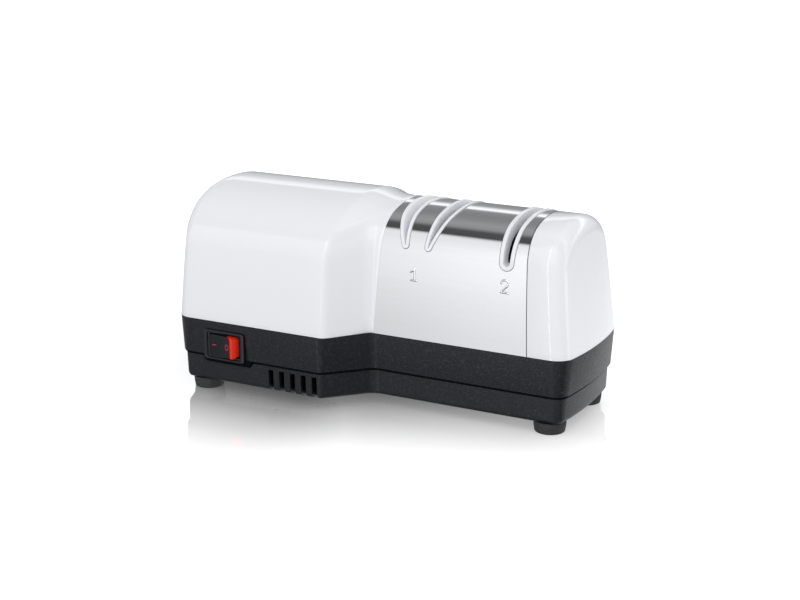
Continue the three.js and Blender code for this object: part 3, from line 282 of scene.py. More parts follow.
class Arch:
    """Half an arch of three tangent arcs: face, roll and crown, given by their radii, and the face's lean at the seam.

    A place on it is a number from 0 at the seam to 3 at the crown.
    """

    def __init__(self, half, top, seam, lean, face, roll, crown):
        self.half, self.top, self.seam = half, top, seam
        lean = math.radians(lean)
        face_centre = (half - face * math.cos(lean), seam - face * math.sin(lean))
        crown_centre = (0.0, top - crown)
        roll_centre = self.meeting(face_centre, face - roll, crown_centre, crown - roll)
        face_end = math.atan2(roll_centre[1] - face_centre[1], roll_centre[0] - face_centre[0])
        roll_end = math.atan2(roll_centre[1] - crown_centre[1], roll_centre[0] - crown_centre[0])
        self.arcs = (
            (face_centre, face, lean, face_end),
            (roll_centre, roll, face_end, roll_end),
            (crown_centre, crown, roll_end, QUARTER),
        )

    @staticmethod
    def meeting(a, reach_a, b, reach_b):
        dx, dy = b[0] - a[0], b[1] - a[1]
        apart = math.hypot(dx, dy)
        along = (apart * apart + reach_a * reach_a - reach_b * reach_b) / (2 * apart)
        off = math.sqrt(reach_a * reach_a - along * along)
        base = (a[0] + dx * along / apart, a[1] + dy * along / apart)
        options = [(base[0] - s * off * dy / apart, base[1] + s * off * dx / apart) for s in (1, -1)]
        return max(options, key=lambda point: point[1])

    def angle(self, place):
        index = min(int(place), 2)
        start, end = self.arcs[index][2:]
        return index, start + (end - start) * (place - index)

    def at(self, place, inset):
        index, angle = self.angle(place)
        centre, radius = self.arcs[index][:2]
        reach = radius - inset
        return centre[0] + reach * math.cos(angle), centre[1] + reach * math.sin(angle)

    def place_at(self, z, inset):
        """The place whose height is z, at that inset."""
        for index, (centre, radius, start, end) in enumerate(self.arcs):
            reach = radius - inset
            if index == 2 or z <= centre[1] + reach * math.sin(end):
                angle = math.asin(max(-1.0, min(1.0, (z - centre[1]) / reach)))
                return index + (angle - start) / (end - start)
        return 3.0

    def outline(self, inset, steps):
        """From the front seam over the crown to the back seam, as (y, z)."""
        start = self.place_at(self.seam, inset)
        places = spread(start, 1, steps)[:-1] + spread(1, 3, 2 * steps)[:-1]
        half = [self.at(place, inset) for place in places]
        half.append((0.0, self.top - inset))
        return [(-y, z) for y, z in half] + half[-2::-1]


def motor_arch():
    shell = sizes()[0]
    top = shell.guide_top + shell.top_step
    return Arch(shell.motor_depth / 2, top, shell.seam, lean=3.4, face=0.5, roll=0.02, crown=0.076)


def guide_arch():
    shell = sizes()[0]
    return Arch(shell.guide_depth / 2, shell.guide_top, shell.seam, lean=2.4, face=0.48, roll=0.02, crown=0.055)


# Meshes


class Skin:
    """Points and faces of one piece."""

    def __init__(self):
        self.points = []
        self.faces = []
        self.finish = []

    def face(self, corners):
        start = len(self.points)
        self.points.extend(corners)
        self.faces.append(tuple(range(start, start + len(corners))))
        self.finish.append(0)

    def grid(self, rows, round_rows=False, round_columns=False, finish=0):
        """Faces between rows of points, closed round either way."""
        start = len(self.points)
        wide = len(rows[0])
        for row in rows:
            self.points.extend(row)
        for r in range(len(rows) if round_rows else len(rows) - 1):
            below = (r + 1) % len(rows)
            for c in range(wide if round_columns else wide - 1):
                after = (c + 1) % wide
                corners = ((r, c), (r, after), (below, after), (below, c))
                self.faces.append(tuple(start + row * wide + column for row, column in corners))
                self.finish.append(finish)

    def tube(self, rings):
        """A body over closed rings, with a cap at both ends."""
        self.grid(rings, round_columns=True)
        self.face(list(rings[0]))
        self.face(list(rings[-1]))
        return self

    def mesh(self, name, outward):
        """The skin as mesh data, with its loose seams closed."""
        merge = 1e-6
        data = bpy.data.meshes.new(name)
        data.from_pydata([tuple(point) for point in self.points], [], self.faces)
        data.polygons.foreach_set("material_index", self.finish)
        work = bmesh.new()
        work.from_mesh(data)
        bmesh.ops.remove_doubles(work, verts=work.verts, dist=merge)
        bmesh.ops.dissolve_degenerate(work, edges=work.edges, dist=merge)
        if outward:
            bmesh.ops.recalc_face_normals(work, faces=work.faces)
        work.to_mesh(data)
        work.free()
        return data


def made(name, skin, *finishes, outward=True):
    """A new object at the origin with this skin and these finishes."""
    data = skin.mesh(name, outward)
    for finish in finishes:
        data.materials.append(finish_set()[finish])
    piece = bpy.data.objects.new(name, data)
    bpy.context.scene.collection.objects.link(piece)
    return piece


def settled(piece):
    """The piece with its modifiers made part of its mesh."""
    seen = piece.evaluated_get(bpy.context.evaluated_depsgraph_get())
    data = bpy.data.meshes.new_from_object(seen)
    old = piece.data
    name = old.name
    piece.modifiers.clear()
    piece.data = data
    bpy.data.meshes.remove(old)
    data.name = name
    return piece


def smooth(piece, degrees=32):
    """Smooth shading that stays sharp at edges over this angle."""
    work = bmesh.new()
    work.from_mesh(piece.data)
    limit = math.radians(degrees)
    for face in work.faces:
        face.smooth = True
    for edge in work.edges:
        edge.smooth = len(edge.link_faces) == 2 and edge.calc_face_angle(0) < limit
    work.to_mesh(piece.data)
    work.free()
    return piece


def cut(piece, *tools, operation="DIFFERENCE"):
    """Cuts the tools' volumes out of the piece, or joins or keeps them, and deletes them."""
    for tool in tools:
        change = piece.modifiers.new("cut", "BOOLEAN")
        change.object = tool
        change.operation = operation
        change.solver = "EXACT"
    settled(piece)
    for tool in tools:
        data = tool.data
        bpy.data.objects.remove(tool)
        bpy.data.meshes.remove(data)
    return piece


def round_edges(piece, width, segments=3, degrees=50):
    change = piece.modifiers.new("edges", "BEVEL")
    change.width = width
    change.segments = segments
    change.limit_method = "ANGLE"
    change.angle_limit = math.radians(degrees)
    change.harden_normals = False
    return settled(piece)


def thicken(piece, wall):
    change = piece.modifiers.new("wall", "SOLIDIFY")
    change.thickness = wall
    change.offset = -1
    change.use_even_offset = True
    return settled(piece)


def seat(piece, body, nodes=()):
    """Lets the piece ride on its body in place of CAD nodes."""
    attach(piece, body)
    if nodes:
        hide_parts(*nodes)
    return piece


def turned_ring(outline, steps, origin, axis):
    """A closed outline of (radius, along) turned about an axis through the origin point."""
    skin = Skin()
    axis = Vector(axis)
    side = axis.orthogonal().normalized()
    other = axis.cross(side)
    rows = []
    for angle in circle(steps):
        out = side * math.cos(angle) + other * math.sin(angle)
        rows.append([Vector(origin) + out * radius + axis * along for radius, along in outline])
    skin.grid(rows, round_rows=True, round_columns=True)
    return skin


# Finishes


class Maths:
    """A number socket that takes part in Python sums."""

    def __init__(self, paint, socket):
        self.paint, self.socket = paint, socket

    def of(self, operation, *others):
        return self.paint.number("ShaderNodeMath", {"operation": operation}, self, *others)

    def __add__(self, other):
        return self.of("ADD", other)

    def __mul__(self, other):
        return self.of("MULTIPLY", other)

    def __sub__(self, other):
        return self.of("SUBTRACT", other)

    def __rsub__(self, other):
        return self.paint.number("ShaderNodeMath", {"operation": "SUBTRACT"}, other, self)

    def __truediv__(self, other):
        return self.of("DIVIDE", other)

    def __pow__(self, other):
        return self.of("POWER", other)

    __radd__ = __add__
    __rmul__ = __mul__

    def between(self, low, high):
        """0 below low, 1 above high, smooth in between."""
        node = self.paint.node(
            "ShaderNodeMapRange", {"interpolation_type": "SMOOTHSTEP"},
            {"Value": self, "From Min": low, "From Max": high},
        )
        return Maths(self.paint, node.outputs["Result"])


class Paint:
    """One material and the helpers that add its nodes."""

    def __init__(self, name, owner=None):
        self.owner = owner or bpy.data.materials.new(name)
        self.owner.use_nodes = True
        self.tree = self.owner.node_tree
        self.tree.nodes.clear()

    def node(self, kind, settings=None, values=None):
        node = self.tree.nodes.new(kind)
        for key, value in (settings or {}).items():
            if key == "stops":
                self.stops(node.color_ramp, value)
            else:
                setattr(node, key, value)
        for key, value in (values or {}).items():
            self.feed(node.inputs[key], value)
        return node

    @staticmethod
    def stops(ramp, stops):
        while len(ramp.elements) < len(stops):
            ramp.elements.new(1.0)
        for element, (position, colour) in zip(ramp.elements, stops):
            element.position = position
            element.color = (*colour, 1) if len(colour) == 3 else colour

    def feed(self, socket, value):
        if isinstance(value, Maths):
            value = value.socket
        if isinstance(value, bpy.types.NodeSocket):
            self.tree.links.new(value, socket)
        elif hasattr(value, "__len__") and len(socket.default_value) == 4 and len(value) == 3:
            socket.default_value = (*value, 1)
        else:
            socket.default_value = value

    def number(self, kind, settings, *values):
        node = self.node(kind, settings)
        for socket, value in zip(node.inputs, values):
            self.feed(socket, value)
        return Maths(self, node.outputs[0])

    def pattern(self, kind, settings, output, **values):
        """A texture over the object coordinates."""
        node = self.node("ShaderNodeTex" + kind, settings, {"Vector": self.place(), **values})
        return Maths(self, node.outputs[output])

    def axes(self, vector):
        parts = self.node("ShaderNodeSeparateXYZ", {}, {"Vector": vector})
        return [Maths(self, output) for output in parts.outputs]

    def place(self, stretch=(1, 1, 1)):
        """Object coordinates, stretched."""
        where = self.node("ShaderNodeTexCoord").outputs["Object"]
        if tuple(stretch) == (1, 1, 1):
            return where
        return self.node("ShaderNodeMapping", {}, {"Vector": where, "Scale": stretch}).outputs["Vector"]

    def noise(self, size, detail=2.0, stretch=(1, 1, 1), rough=0.5):
        """Noise whose spots are about this size, in metres."""
        node = self.node(
            "ShaderNodeTexNoise", {},
            {"Vector": self.place(stretch), "Scale": 1 / size, "Detail": detail, "Roughness": rough},
        )
        return Maths(self, node.outputs["Fac"])

    def bump(self, height, distance, strength=1.0):
        values = {"Height": height, "Distance": distance, "Strength": strength}
        return self.node("ShaderNodeBump", {}, values).outputs["Normal"]

    def blend(self, factor, a, b):
        node = self.node("ShaderNodeMix", {"data_type": "RGBA"})
        self.feed(node.inputs["Factor"], factor)
        self.feed(next(s for s in node.inputs if s.name == "A" and s.type == "RGBA"), a)
        self.feed(next(s for s in node.inputs if s.name == "B" and s.type == "RGBA"), b)
        return next(s for s in node.outputs if s.type == "RGBA")

    def tinted(self, mask, colour, low, high):
        """The colour times low to times high over a mask."""
        return self.blend(mask, shade(colour, low), shade(colour, high))

    def shader(self, kind, **values):
        return self.node("ShaderNode" + kind, {}, values).outputs[0]

    def mixed(self, factor, a, b):
        return self.node("ShaderNodeMixShader", {}, {0: factor, 1: a, 2: b}).outputs[0]

    def surface(self, **values):
        inputs = {name.replace("_", " "): value for name, value in values.items()}
        shader = self.node("ShaderNodeBsdfPrincipled", {}, inputs)
        self.node("ShaderNodeOutputMaterial", {}, {"Surface": shader.outputs["BSDF"]})
        return self.owner


def shade(colour, factor):
    return tuple(min(1.0, channel * factor) for channel in colour)


def white_plastic(paint, colour):
    """Glossy moulded plastic, even in colour, with the faintest orange peel."""
    peel = paint.noise(0.0012, 2.0)
    return paint.surface(
        Base_Color=paint.tinted(paint.noise(0.04, 1.0), colour, 0.997, 1),
        Roughness=0.36 + 0.02 * peel,
        Coat_Weight=1.0,
        Coat_Roughness=0.045,
        IOR=1.3,
        Normal=paint.bump(peel, 0.000002, 0.3),
    )


def black_plastic(paint, colour, grain=0.0007):
    """Spark textured plastic: a grain whose tops are smoother and lighter in colour, partly grain tone and partly a
    painted glint.
    """
    fine = paint.noise(grain, 3.0, rough=0.62)
    broad = paint.noise(grain * 2.4, 2.0)
    height = 0.65 * fine + 0.35 * broad
    tops = height.between(0.5, 0.68)
    return paint.surface(
        # Lighter grain tops: partly grain tone, partly a painted glint
        Base_Color=paint.tinted(tops, colour, 0.5, 2.0),
        Roughness=0.32 - 0.1 * tops,
        IOR=1.32,
        Normal=paint.bump(height, 0.00016, 0.9),
    )


def rubber(paint, colour):
    dust = paint.noise(0.0012, 4.0)
    return paint.surface(
        Base_Color=paint.tinted(dust.between(0.45, 0.75), colour, 1, 2.2),
        Roughness=0.62 + 0.18 * dust,
        Normal=paint.bump(paint.noise(0.0004, 2.0), 0.00003, 0.6),
    )


def brushed_steel(paint, colour):
    """Sheet brushed along X: long streaks in the roughness and the height."""
    streaks = paint.noise(0.00022, 2.0, stretch=(0.006, 1, 1), rough=0.6)
    bands = paint.noise(0.0016, 2.0, stretch=(0.02, 1, 1))
    return paint.surface(
        Base_Color=paint.tinted(0.6 * streaks + 0.4 * bands, colour, 0.95, 1.03),
        Metallic=1.0,
        Roughness=0.05 + 0.06 * streaks + 0.03 * bands,
        Normal=paint.bump(streaks, 0.00001, 0.4),
    )


def ground_metal(paint, colour, rough=0.28):
    """Turned or ground metal with fine marks."""
    marks = paint.noise(0.0003, 3.0, stretch=(0.3, 1, 1))
    return paint.surface(
        Base_Color=paint.tinted(marks, colour, 0.85, 1.08),
        Metallic=1.0,
        Roughness=rough + 0.15 * marks,
        Normal=paint.bump(marks, 0.00001, 0.4),
    )


def laminated(paint, colour):
    """A stack of thin sheets along X."""
    kind = {"wave_type": "BANDS", "bands_direction": "X", "wave_profile": "SAW"}
    sheets = paint.pattern("Wave", kind, "Fac", Scale=320.0, Distortion=0.0)
    return paint.surface(
        Base_Color=paint.tinted(sheets, colour, 0.6, 1),
        Metallic=0.8,
        Roughness=0.42 + 0.2 * paint.noise(0.002, 3.0),
        Normal=paint.bump(sheets, 0.00008, 0.7),
    )


def grit(paint, colour):
    """Bonded abrasive: sharp grains in a matt bond."""
    grains = paint.pattern("Voronoi", {}, "Distance", Scale=3200.0)
    return paint.surface(
        Base_Color=paint.tinted(grains.between(0.1, 0.6), colour, 1.5, 0.6),
        Roughness=0.7 + 0.2 * grains,
        Normal=paint.bump(1 - grains, 0.0001, 0.9),
    )


def wound(paint, colour):
    """Enamelled wire laid side by side, darker in the grooves between turns: painted shade."""
    kind = {"wave_type": "RINGS", "rings_direction": "X"}
    turns = paint.pattern("Wave", kind, "Fac", Scale=420.0, Distortion=0.4, Detail=1.0)
    return paint.surface(
        # Painted shade: the colour darkens in the grooves between turns
        Base_Color=paint.tinted(turns, colour, 0.35, 1),
        Metallic=0.7,
        Roughness=0.3 + 0.1 * turns,
        Coat_Weight=0.5,
        Normal=paint.bump(turns, 0.0001, 0.8),
    )


def gloss_plastic(paint, colour, rough=0.2, bend=1.5, coat=0.3):
    """Moulded plastic without a grain; bend is its index of refraction."""
    peel = paint.noise(0.0007, 2.0)
    return paint.surface(
        Base_Color=paint.tinted(paint.noise(0.004, 2.0), colour, 0.92, 1.05),
        Roughness=rough + 0.08 * peel,
        Coat_Weight=coat,
        IOR=bend,
        Normal=paint.bump(peel, 0.000008, 0.5),
    )


def rocker_plastic(paint, red, black, edge, corner):
    """Red plastic that is black left of an edge, given from the switch's middle and rounded at the top."""
    switch = sizes()[3]
    at = Stations()
    x, _, z = paint.axes(paint.place())
    over, blur = 0.0003, 0.00004
    across = (x - (at.switch_x + edge - corner)).of("MAXIMUM", 0.0)
    up = (z - (at.switch_z + switch.rocker_height / 2 + over - corner)).of("MAXIMUM", 0.0)
    on_red = ((across * across + up * up) ** 0.5).between(corner - blur, corner + blur)
    return paint.surface(
        Base_Color=paint.blend(on_red, black, red),
        Roughness=0.26 + 0.04 * paint.noise(0.0007, 2.0),
        IOR=1.3,
    )


FINISHES = {}


def finish_set():
    """Every finish by the record's material slot, with the extra ones of the looks."""
    if FINISHES:
        return FINISHES
    c = bpy.context.scene.finishes
    switch = sizes()[3]
    dark = shade(c.black, 0.5)
    table = {
        "white_plastic": (white_plastic, c.white),
        "black_plastic": (black_plastic, c.black),
        # Dark inner plastic, also used as painted shade on the deep walls of the blade slots
        "inner_plastic": (gloss_plastic, shade(c.black, 0.7), 0.32, 1.38, 0.0),
        # Near black without gloss: painted shade in the base's groove and on the band's inner faces
        "gap_plastic": (gloss_plastic, shade(c.black, 0.4), 0.6, 1.02, 0.0),
        "rubber": (rubber, c.rubber),
        "brushed_steel": (brushed_steel, c.steel),
        # Darkened steel: painted shade on the numbers' lower left flanks and along the steel's right end
        "steel_edge": (ground_metal, shade(c.steel, 0.12), 0.35),
        "bright_steel": (ground_metal, c.bright_steel, 0.16),
        "dark_steel": (laminated, c.dark_steel),
        "abrasive": (grit, c.abrasive),
        "copper": (wound, c.copper),
        "brass": (ground_metal, c.brass, 0.3),
        "red_plastic": (rocker_plastic, c.red, dark, switch.red_from, switch.red_corner),
        "rocker_panel": (rocker_plastic, c.red, dark, switch.panel_to, switch.panel_corner),
        "switch_mark": (gloss_plastic, c.mark, 0.4),
    }
    for name, (finish, *values) in table.items():
        FINISHES[name] = finish(Paint(name), *values)
    return FINISHES


# Shells


# The power of the height by which an end is tucked in, so that only its crown is
TUCK_POWER = 16
# Shares of the neck's length taken by its bend at the knee and at the steel, at the seam and at the crown
NECK_BENDS = ((0.24, 0.12), (0.2, 0.6))


def ease(value, knee, neck):
    """0 to 1 over a straight slope with a bend at either end."""
    slope = 1 / (1 - knee / 2 - neck / 2)
    if value < knee:
        return slope * value * value / (2 * knee)
    if value > 1 - neck:
        return 1 - slope * (1 - value) ** 2 / (2 * neck)
    return slope * (value - knee / 2)


def bow_at(bow, y, half):
    """How far an end stands out at y; the left one, whose bow is below 0, is flatter in the middle."""
    power = sizes()[0].left_power if bow < 0 else 2
    return bow * (1 - min(1.0, abs(y / half)) ** power)


def arch_row(outline, x, lean, bow, half, seam, tuck=0.0):
    """One row of points of a shell: an outline stood at x, leaning with height, tucked at the crown and bowed."""
    shell = sizes()[0]
    rise = shell.guide_top + shell.top_step - seam
    return [(x + lean * (z - seam) + tuck * (max(0.0, z - seam) / rise) ** TUCK_POWER + bow_at(bow, y, half), y, z)
            for y, z in outline]


def end_face(skin, outline, x, lean, bow, half, seam, tuck=0.0, cells=24):
    """The bowed face that closes a shell's end."""
    rows = len(outline) // 2
    lines = []
    for r in range(rows + 1):
        front, back = outline[r], outline[len(outline) - 1 - r]
        across = [(front[0] + (back[0] - front[0]) * c / cells, front[1]) for c in range(cells + 1)]
        lines.append(arch_row(across, x, lean, bow, half, seam, tuck))
    skin.grid(lines)


def moulded(name, skin, node):
    """A white shell with walls, made of the skin of its outside."""
    shell = sizes()[0]
    piece = thicken(made(name, skin, "white_plastic"), shell.wall)
    seat(smooth(round_edges(piece, shell.soft, 2)), "housing", [node])


class SHARPENER_OT_motor_shell(bpy.types.Operator):
    """White motor housing with its bowed left end and its neck"""

    bl_idname = "sharpener.motor_shell"
    bl_label = "Motor housing"

    def execute(self, context):
        shell = sizes()[0]
        at = Stations()
        motor, guide = motor_arch(), guide_arch()
        steps, seam = shell.arch_steps, shell.seam
        rows = []
        for inward, along in quarter(6):
            x = at.left + shell.left_edge * along
            outline = motor.outline(shell.left_edge * inward, steps)
            if not rows:
                first = (outline, x)
            rows.append(arch_row(outline, x, shell.left_lean, -shell.left_bow, motor.half, seam, shell.left_tuck))
        full = motor.outline(0, steps)
        straight = 9
        for i in range(1, straight):
            part = i / straight
            rows.append(arch_row(full, at.left + part * shell.motor_length, shell.left_lean * (1 - part),
                                 -shell.left_bow * (1 - part), motor.half, seam, shell.left_tuck * (1 - part)))
        narrow = guide.outline(0, steps)
        neck_steps = 26
        for i in range(neck_steps + 1):
            part = i / neck_steps
            row = []
            for (my, mz), (gy, gz) in zip(full, narrow):
                high = max(0.0, (mz - seam) / (motor.top - seam))
                blend = ease(part, *(low + (top - low) * high for low, top in NECK_BENDS))
                row.append((at.knee + part * shell.neck_length, my + (gy - my) * blend, mz + (gz - mz) * blend))
            rows.append(row)
        rows.append(arch_row(narrow, at.steel_left - shell.fit / 4, shell.steel_slope, 0, guide.half, seam))
        skin = Skin()
        skin.grid(rows)
        end_face(skin, *first, shell.left_lean, -shell.left_bow, motor.half, seam, shell.left_tuck)
        moulded("motor_housing_shell", skin, "motor_housing")
        return {"FINISHED"}


class SHARPENER_OT_end_cap(bpy.types.Operator):
    """White right end with its soft rim"""

    bl_idname = "sharpener.end_cap"
    bl_label = "End cap"

    def execute(self, context):
        shell = sizes()[0]
        at = Stations()
        guide = guide_arch()
        steps, seam = shell.arch_steps, shell.seam
        inner = at.steel_right + shell.fit / 2
        rows = [arch_row(guide.outline(0, steps), inner, -shell.steel_slope, 0, guide.half, seam)]
        for inward, along in quarter(14)[::-1]:
            outline = guide.outline(shell.right_edge * inward, steps)
            x = at.right - shell.right_edge * along
            rows.append(arch_row(outline, x, -shell.right_lean, shell.right_bow, guide.half, seam))
        skin = Skin()
        skin.grid(rows)
        end_face(skin, outline, x, -shell.right_lean, shell.right_bow, guide.half, seam)
        moulded("end_cap_shell", skin, "end_cap")
        return {"FINISHED"}


# Blade slots


class Slot:
    """One blade slot: a plane along Y that leans by its tilt and narrows from its mouth to a rounded toe."""

    def __init__(self, name, x, below, tilt, mouth, toe):
        shell, slot = sizes()[:2]
        self.name, self.x, self.z, self.tilt = name, x, shell.guide_top - below, tilt
        self.toe, self.toe_at = toe / 2, toe / 2 + slot.rim
        self.crown_at = below / math.cos(tilt)
        self.widen = (mouth - toe) / 2 / (self.crown_at - self.toe_at)

    def local(self, across, up):
        cos, sin = math.cos(self.tilt), math.sin(self.tilt)
        return self.x + across * cos + up * sin, self.z - across * sin + up * cos

    def side(self, sign, up, grow):
        return self.local(sign * (self.toe + grow + self.widen * (up - self.toe_at)), up)

    def tip(self, grow, start, steps):
        """The rounded lower end, from the angle start over half a turn."""
        radius = self.toe + grow
        return [self.local(radius * math.cos(a), self.toe_at + radius * math.sin(a))
                for a in spread(start, start + math.pi, steps)]

    def ring(self, arch, grow, inset):
        """The closed line round the slot on the arch moved in by inset."""
        sides, ends = 26, 10
        walls = []
        for sign in (-1, 1):
            (x0, z0), (x1, z1) = self.side(sign, self.toe_at, grow), self.side(sign, self.crown_at, grow)
            start = arch.place_at(z0, inset)
            half = [arch.at(place, inset) for place in spread(start, 3, sides)[:-1]]
            half.append((0.0, arch.top - inset))
            line = [(-y, z) for y, z in half] + half[-2::-1]
            walls.append([(x0 + (z - z0) * (x1 - x0) / (z1 - z0), y, z) for y, z in line])
        tips = []
        for sign in (1, -1):
            low = self.tip(grow, math.pi, ends)[1:-1]
            tips.append([(x, sign * arch.at(arch.place_at(z, inset), inset)[0], z) for x, z in low])
        return walls[0] + tips[0] + walls[1][::-1] + tips[1][::-1]

    def prism(self, grow):
        """The slot's outline run from front to back, as a tool that cuts."""
        depth = sizes()[0].guide_depth
        above = self.crown_at + 0.006
        outline = self.tip(grow, math.pi, 20) + [self.side(1, above, grow), self.side(-1, above, grow)]
        front = [(x, -depth, z) for x, z in outline]
        back = [(x, depth, z) for x, z in outline]
        return made("slot_tool", Skin().tube([front, back]))


def slots():
    slot = sizes()[1]
    at = Stations()
    middle = at.steel_left + slot.coarse_from_edge
    coarse = [
        Slot(name, middle + sign * slot.coarse_half_gap, slot.coarse_end, sign * slot.coarse_tilt,
             slot.coarse_mouth, slot.coarse_toe)
        for name, sign in (("left", -1), ("right", 1))
    ]
    fine = Slot("fine", at.steel_right - slot.fine_from_edge, slot.fine_end, 0.0, slot.fine_mouth, slot.fine_toe)
    return [*coarse, fine]


class SHARPENER_OT_steel(bpy.types.Operator):
    """Brushed steel cover with a window round each slot"""

    bl_idname = "sharpener.steel"
    bl_label = "Steel cover"

    def execute(self, context):
        shell, slot = sizes()[:2]
        at = Stations()
        guide = guide_arch()
        outline = guide.outline(0, shell.arch_steps * 2)
        left, right = at.steel_left, at.steel_right + shell.fit / 8
        cells = 60
        parts = spread(0, 1, cells)[:-1] + [1 - shell.steel_hem / (right - left), 1]
        rows = [arch_row(outline, left + (right - left) * part, shell.steel_slope * (1 - 2 * part), 0,
                         guide.half, shell.seam) for part in parts]
        skin = Skin()
        skin.grid(rows[:-1])
        # The last strip, at the right end, is painted shade: darkened steel where the cap meets the steel
        skin.grid(rows[-2:], finish=1)
        piece = thicken(made("steel_sheet", skin, "brushed_steel", "steel_edge"), shell.steel_wall)
        cut(piece, *[each.prism(slot.rim + shell.fit) for each in slots()])
        seat(smooth(piece), "housing", ["steel_cover"])
        return {"FINISHED"}


class SHARPENER_OT_guides(bpy.types.Operator):
    """White rims of the blade slots over dark walls deep inside, which are painted shade, each swept round its slot"""

    bl_idname = "sharpener.guides"
    bl_label = "Blade guides"

    def execute(self, context):
        slot = sizes()[1]
        guide = guide_arch()
        soft, chute, turned = slot.rim_edge, slot.chute, quarter(5)
        for each in slots():
            lip, under = -min(slot.lip, each.toe / 2), 0.0008
            profile = [(lip, slot.depth), (lip, chute * 1.6), (lip, chute), (lip, chute * 0.55)]
            profile += [(lip + soft * cosine, soft * sine - slot.proud) for sine, cosine in turned]
            profile += [(slot.rim - soft * sine, soft * cosine - slot.proud) for sine, cosine in turned]
            profile += [(slot.rim, under), (slot.rim, slot.depth / 2), (slot.rim, slot.depth)]
            rings = [each.ring(guide, grow, inset) for grow, inset in profile]
            skin = Skin()
            # The walls below the given depth and the closing ring are dark plastic: painted shade deep in the slot
            skin.grid(rings[:3], round_columns=True, finish=1)
            skin.grid(rings[2:], round_columns=True)
            skin.grid([rings[-1], rings[0]], round_columns=True, finish=1)
            piece = made("blade_guide_" + each.name, skin, "white_plastic", "inner_plastic")
            seat(smooth(piece, 40), "housing", ["knife_guide_" + each.name])
        return {"FINISHED"}


# Stage numbers


# Each number's left and lower end on the steel in x and z, and its strokes in shares of its height
NUMERALS = {
    "1": (0.0235, 0.0679, [[(0.06, 0.68), (0.3, 0.8), (0.42, 1.0), (0.42, 0.04)], [(0.12, 0.0), (0.66, 0.0)]]),
    "2": (0.0716, 0.068, [[(0.02, 0.72), (0.07, 0.9), (0.2, 1.0), (0.42, 1.0), (0.6, 0.92), (0.64, 0.76),
                           (0.56, 0.56), (0.34, 0.34), (0.12, 0.14), (0.02, 0.0)], [(0.02, 0.0), (0.7, 0.0)]]),
}
# A stroke's section, as shares of its half width and of its rise
STROKE = ((-1.0, 0.0), (-0.92, 0.5), (-0.75, 0.8), (-0.2, 0.97), (0.2, 0.97), (0.75, 0.8), (0.92, 0.5), (1.0, 0.0))


def stroke(path, half, place, rise):
    """A raised line with a rounded back along a path of (across, up)."""
    points = [Vector(point) for point in path]
    rows = []
    for i, point in enumerate(points):
        before = points[max(i - 1, 0)]
        after = points[min(i + 1, len(points) - 1)]
        along = (after - before).normalized()
        side = Vector((-along.y, along.x))
        rows.append([place(point + side * (half * w), rise * h) for w, h in STROKE])
    tips = []
    for sign, point, way in ((-1, points[0], points[1] - points[0]), (1, points[-1], points[-1] - points[-2])):
        along = way.normalized() * sign
        side = Vector((-along.y, along.x)) * sign
        ends = []
        for k in range(1, 4):
            angle = QUARTER * k / 3
            shift, narrow = half * math.sin(angle), math.cos(angle)
            ends.append([place(point + along * shift + side * (half * w * narrow), rise * h * max(narrow, 0.02))
                         for w, h in STROKE])
        tips.append(ends)
    rows = tips[0][::-1] + rows + tips[1]
    skin = Skin()
    skin.grid(rows)
    skin.grid([[row[0], row[-1]] for row in rows])
    return skin


class SHARPENER_OT_numerals(bpy.types.Operator):
    """Raised stage numbers on the steel's front, with painted shade along their lower left flanks"""

    bl_idname = "sharpener.numerals"
    bl_label = "Stage numbers"

    def execute(self, context):
        slot = sizes()[1]
        guide = guide_arch()
        tall, sunk, left_share, steep = slot.numeral_height, 0.0002, 0.6, -0.06
        for text, (x, z, paths) in NUMERALS.items():
            def place(point, rise):
                on = guide.place_at(z + point.y, 0.0)
                y, up = guide.at(on, sunk - rise)
                return (x + point.x, -y, up)

            foot = Vector(place(Vector((0, 0)), 0))
            front = (Vector(place(Vector((0, 0)), tall)) - foot).normalized()
            for letter, path in zip("ab", paths):
                fine = [Vector(path[0]) * tall]
                for a, b in zip(path, path[1:]):
                    parts = max(2, round((Vector(b) - Vector(a)).length * 10))
                    fine += [Vector(a).lerp(Vector(b), k / parts) * tall for k in range(1, parts + 1)]
                skin = stroke(fine, slot.numeral_stroke / 2, place, slot.numeral_raise + sunk)
                piece = made("stage_number_%s_%s" % (text, letter), skin, "brushed_steel", "steel_edge")
                # Faces turned down and to the left get darkened steel: painted shade on the flanks
                for face in piece.data.polygons:
                    lean = face.normal - front
                    if lean.z + left_share * lean.x < steep:
                        face.material_index = 1
                seat(smooth(piece, 60), "housing", ())
        return {"FINISHED"}


# Base


def filleted(corners):
    """A closed outline with its corners rounded."""
    points = []
    total = len(corners)
    for i, (x, y, radius, steps) in enumerate(corners):
        if not radius:
            points.append((x, y))
            continue
        here = Vector((x, y))
        before = Vector(corners[i - 1][:2])
        after = Vector(corners[(i + 1) % total][:2])
        inward, outward = (before - here).normalized(), (after - here).normalized()
        half = math.acos(max(-1, min(1, inward.dot(outward)))) / 2
        reach = radius / math.tan(half)
        start, end = here + inward * reach, here + outward * reach
        centre = here + (inward + outward).normalized() * (radius / math.sin(half))
        a = math.atan2(start.y - centre.y, start.x - centre.x)
        sweep = math.atan2(end.y - centre.y, end.x - centre.x) - a
        sweep = (sweep + math.pi) % (2 * math.pi) - math.pi
        for angle in spread(a, a + sweep, steps):
            points.append((centre.x + radius * math.cos(angle), centre.y + radius * math.sin(angle)))
    return points


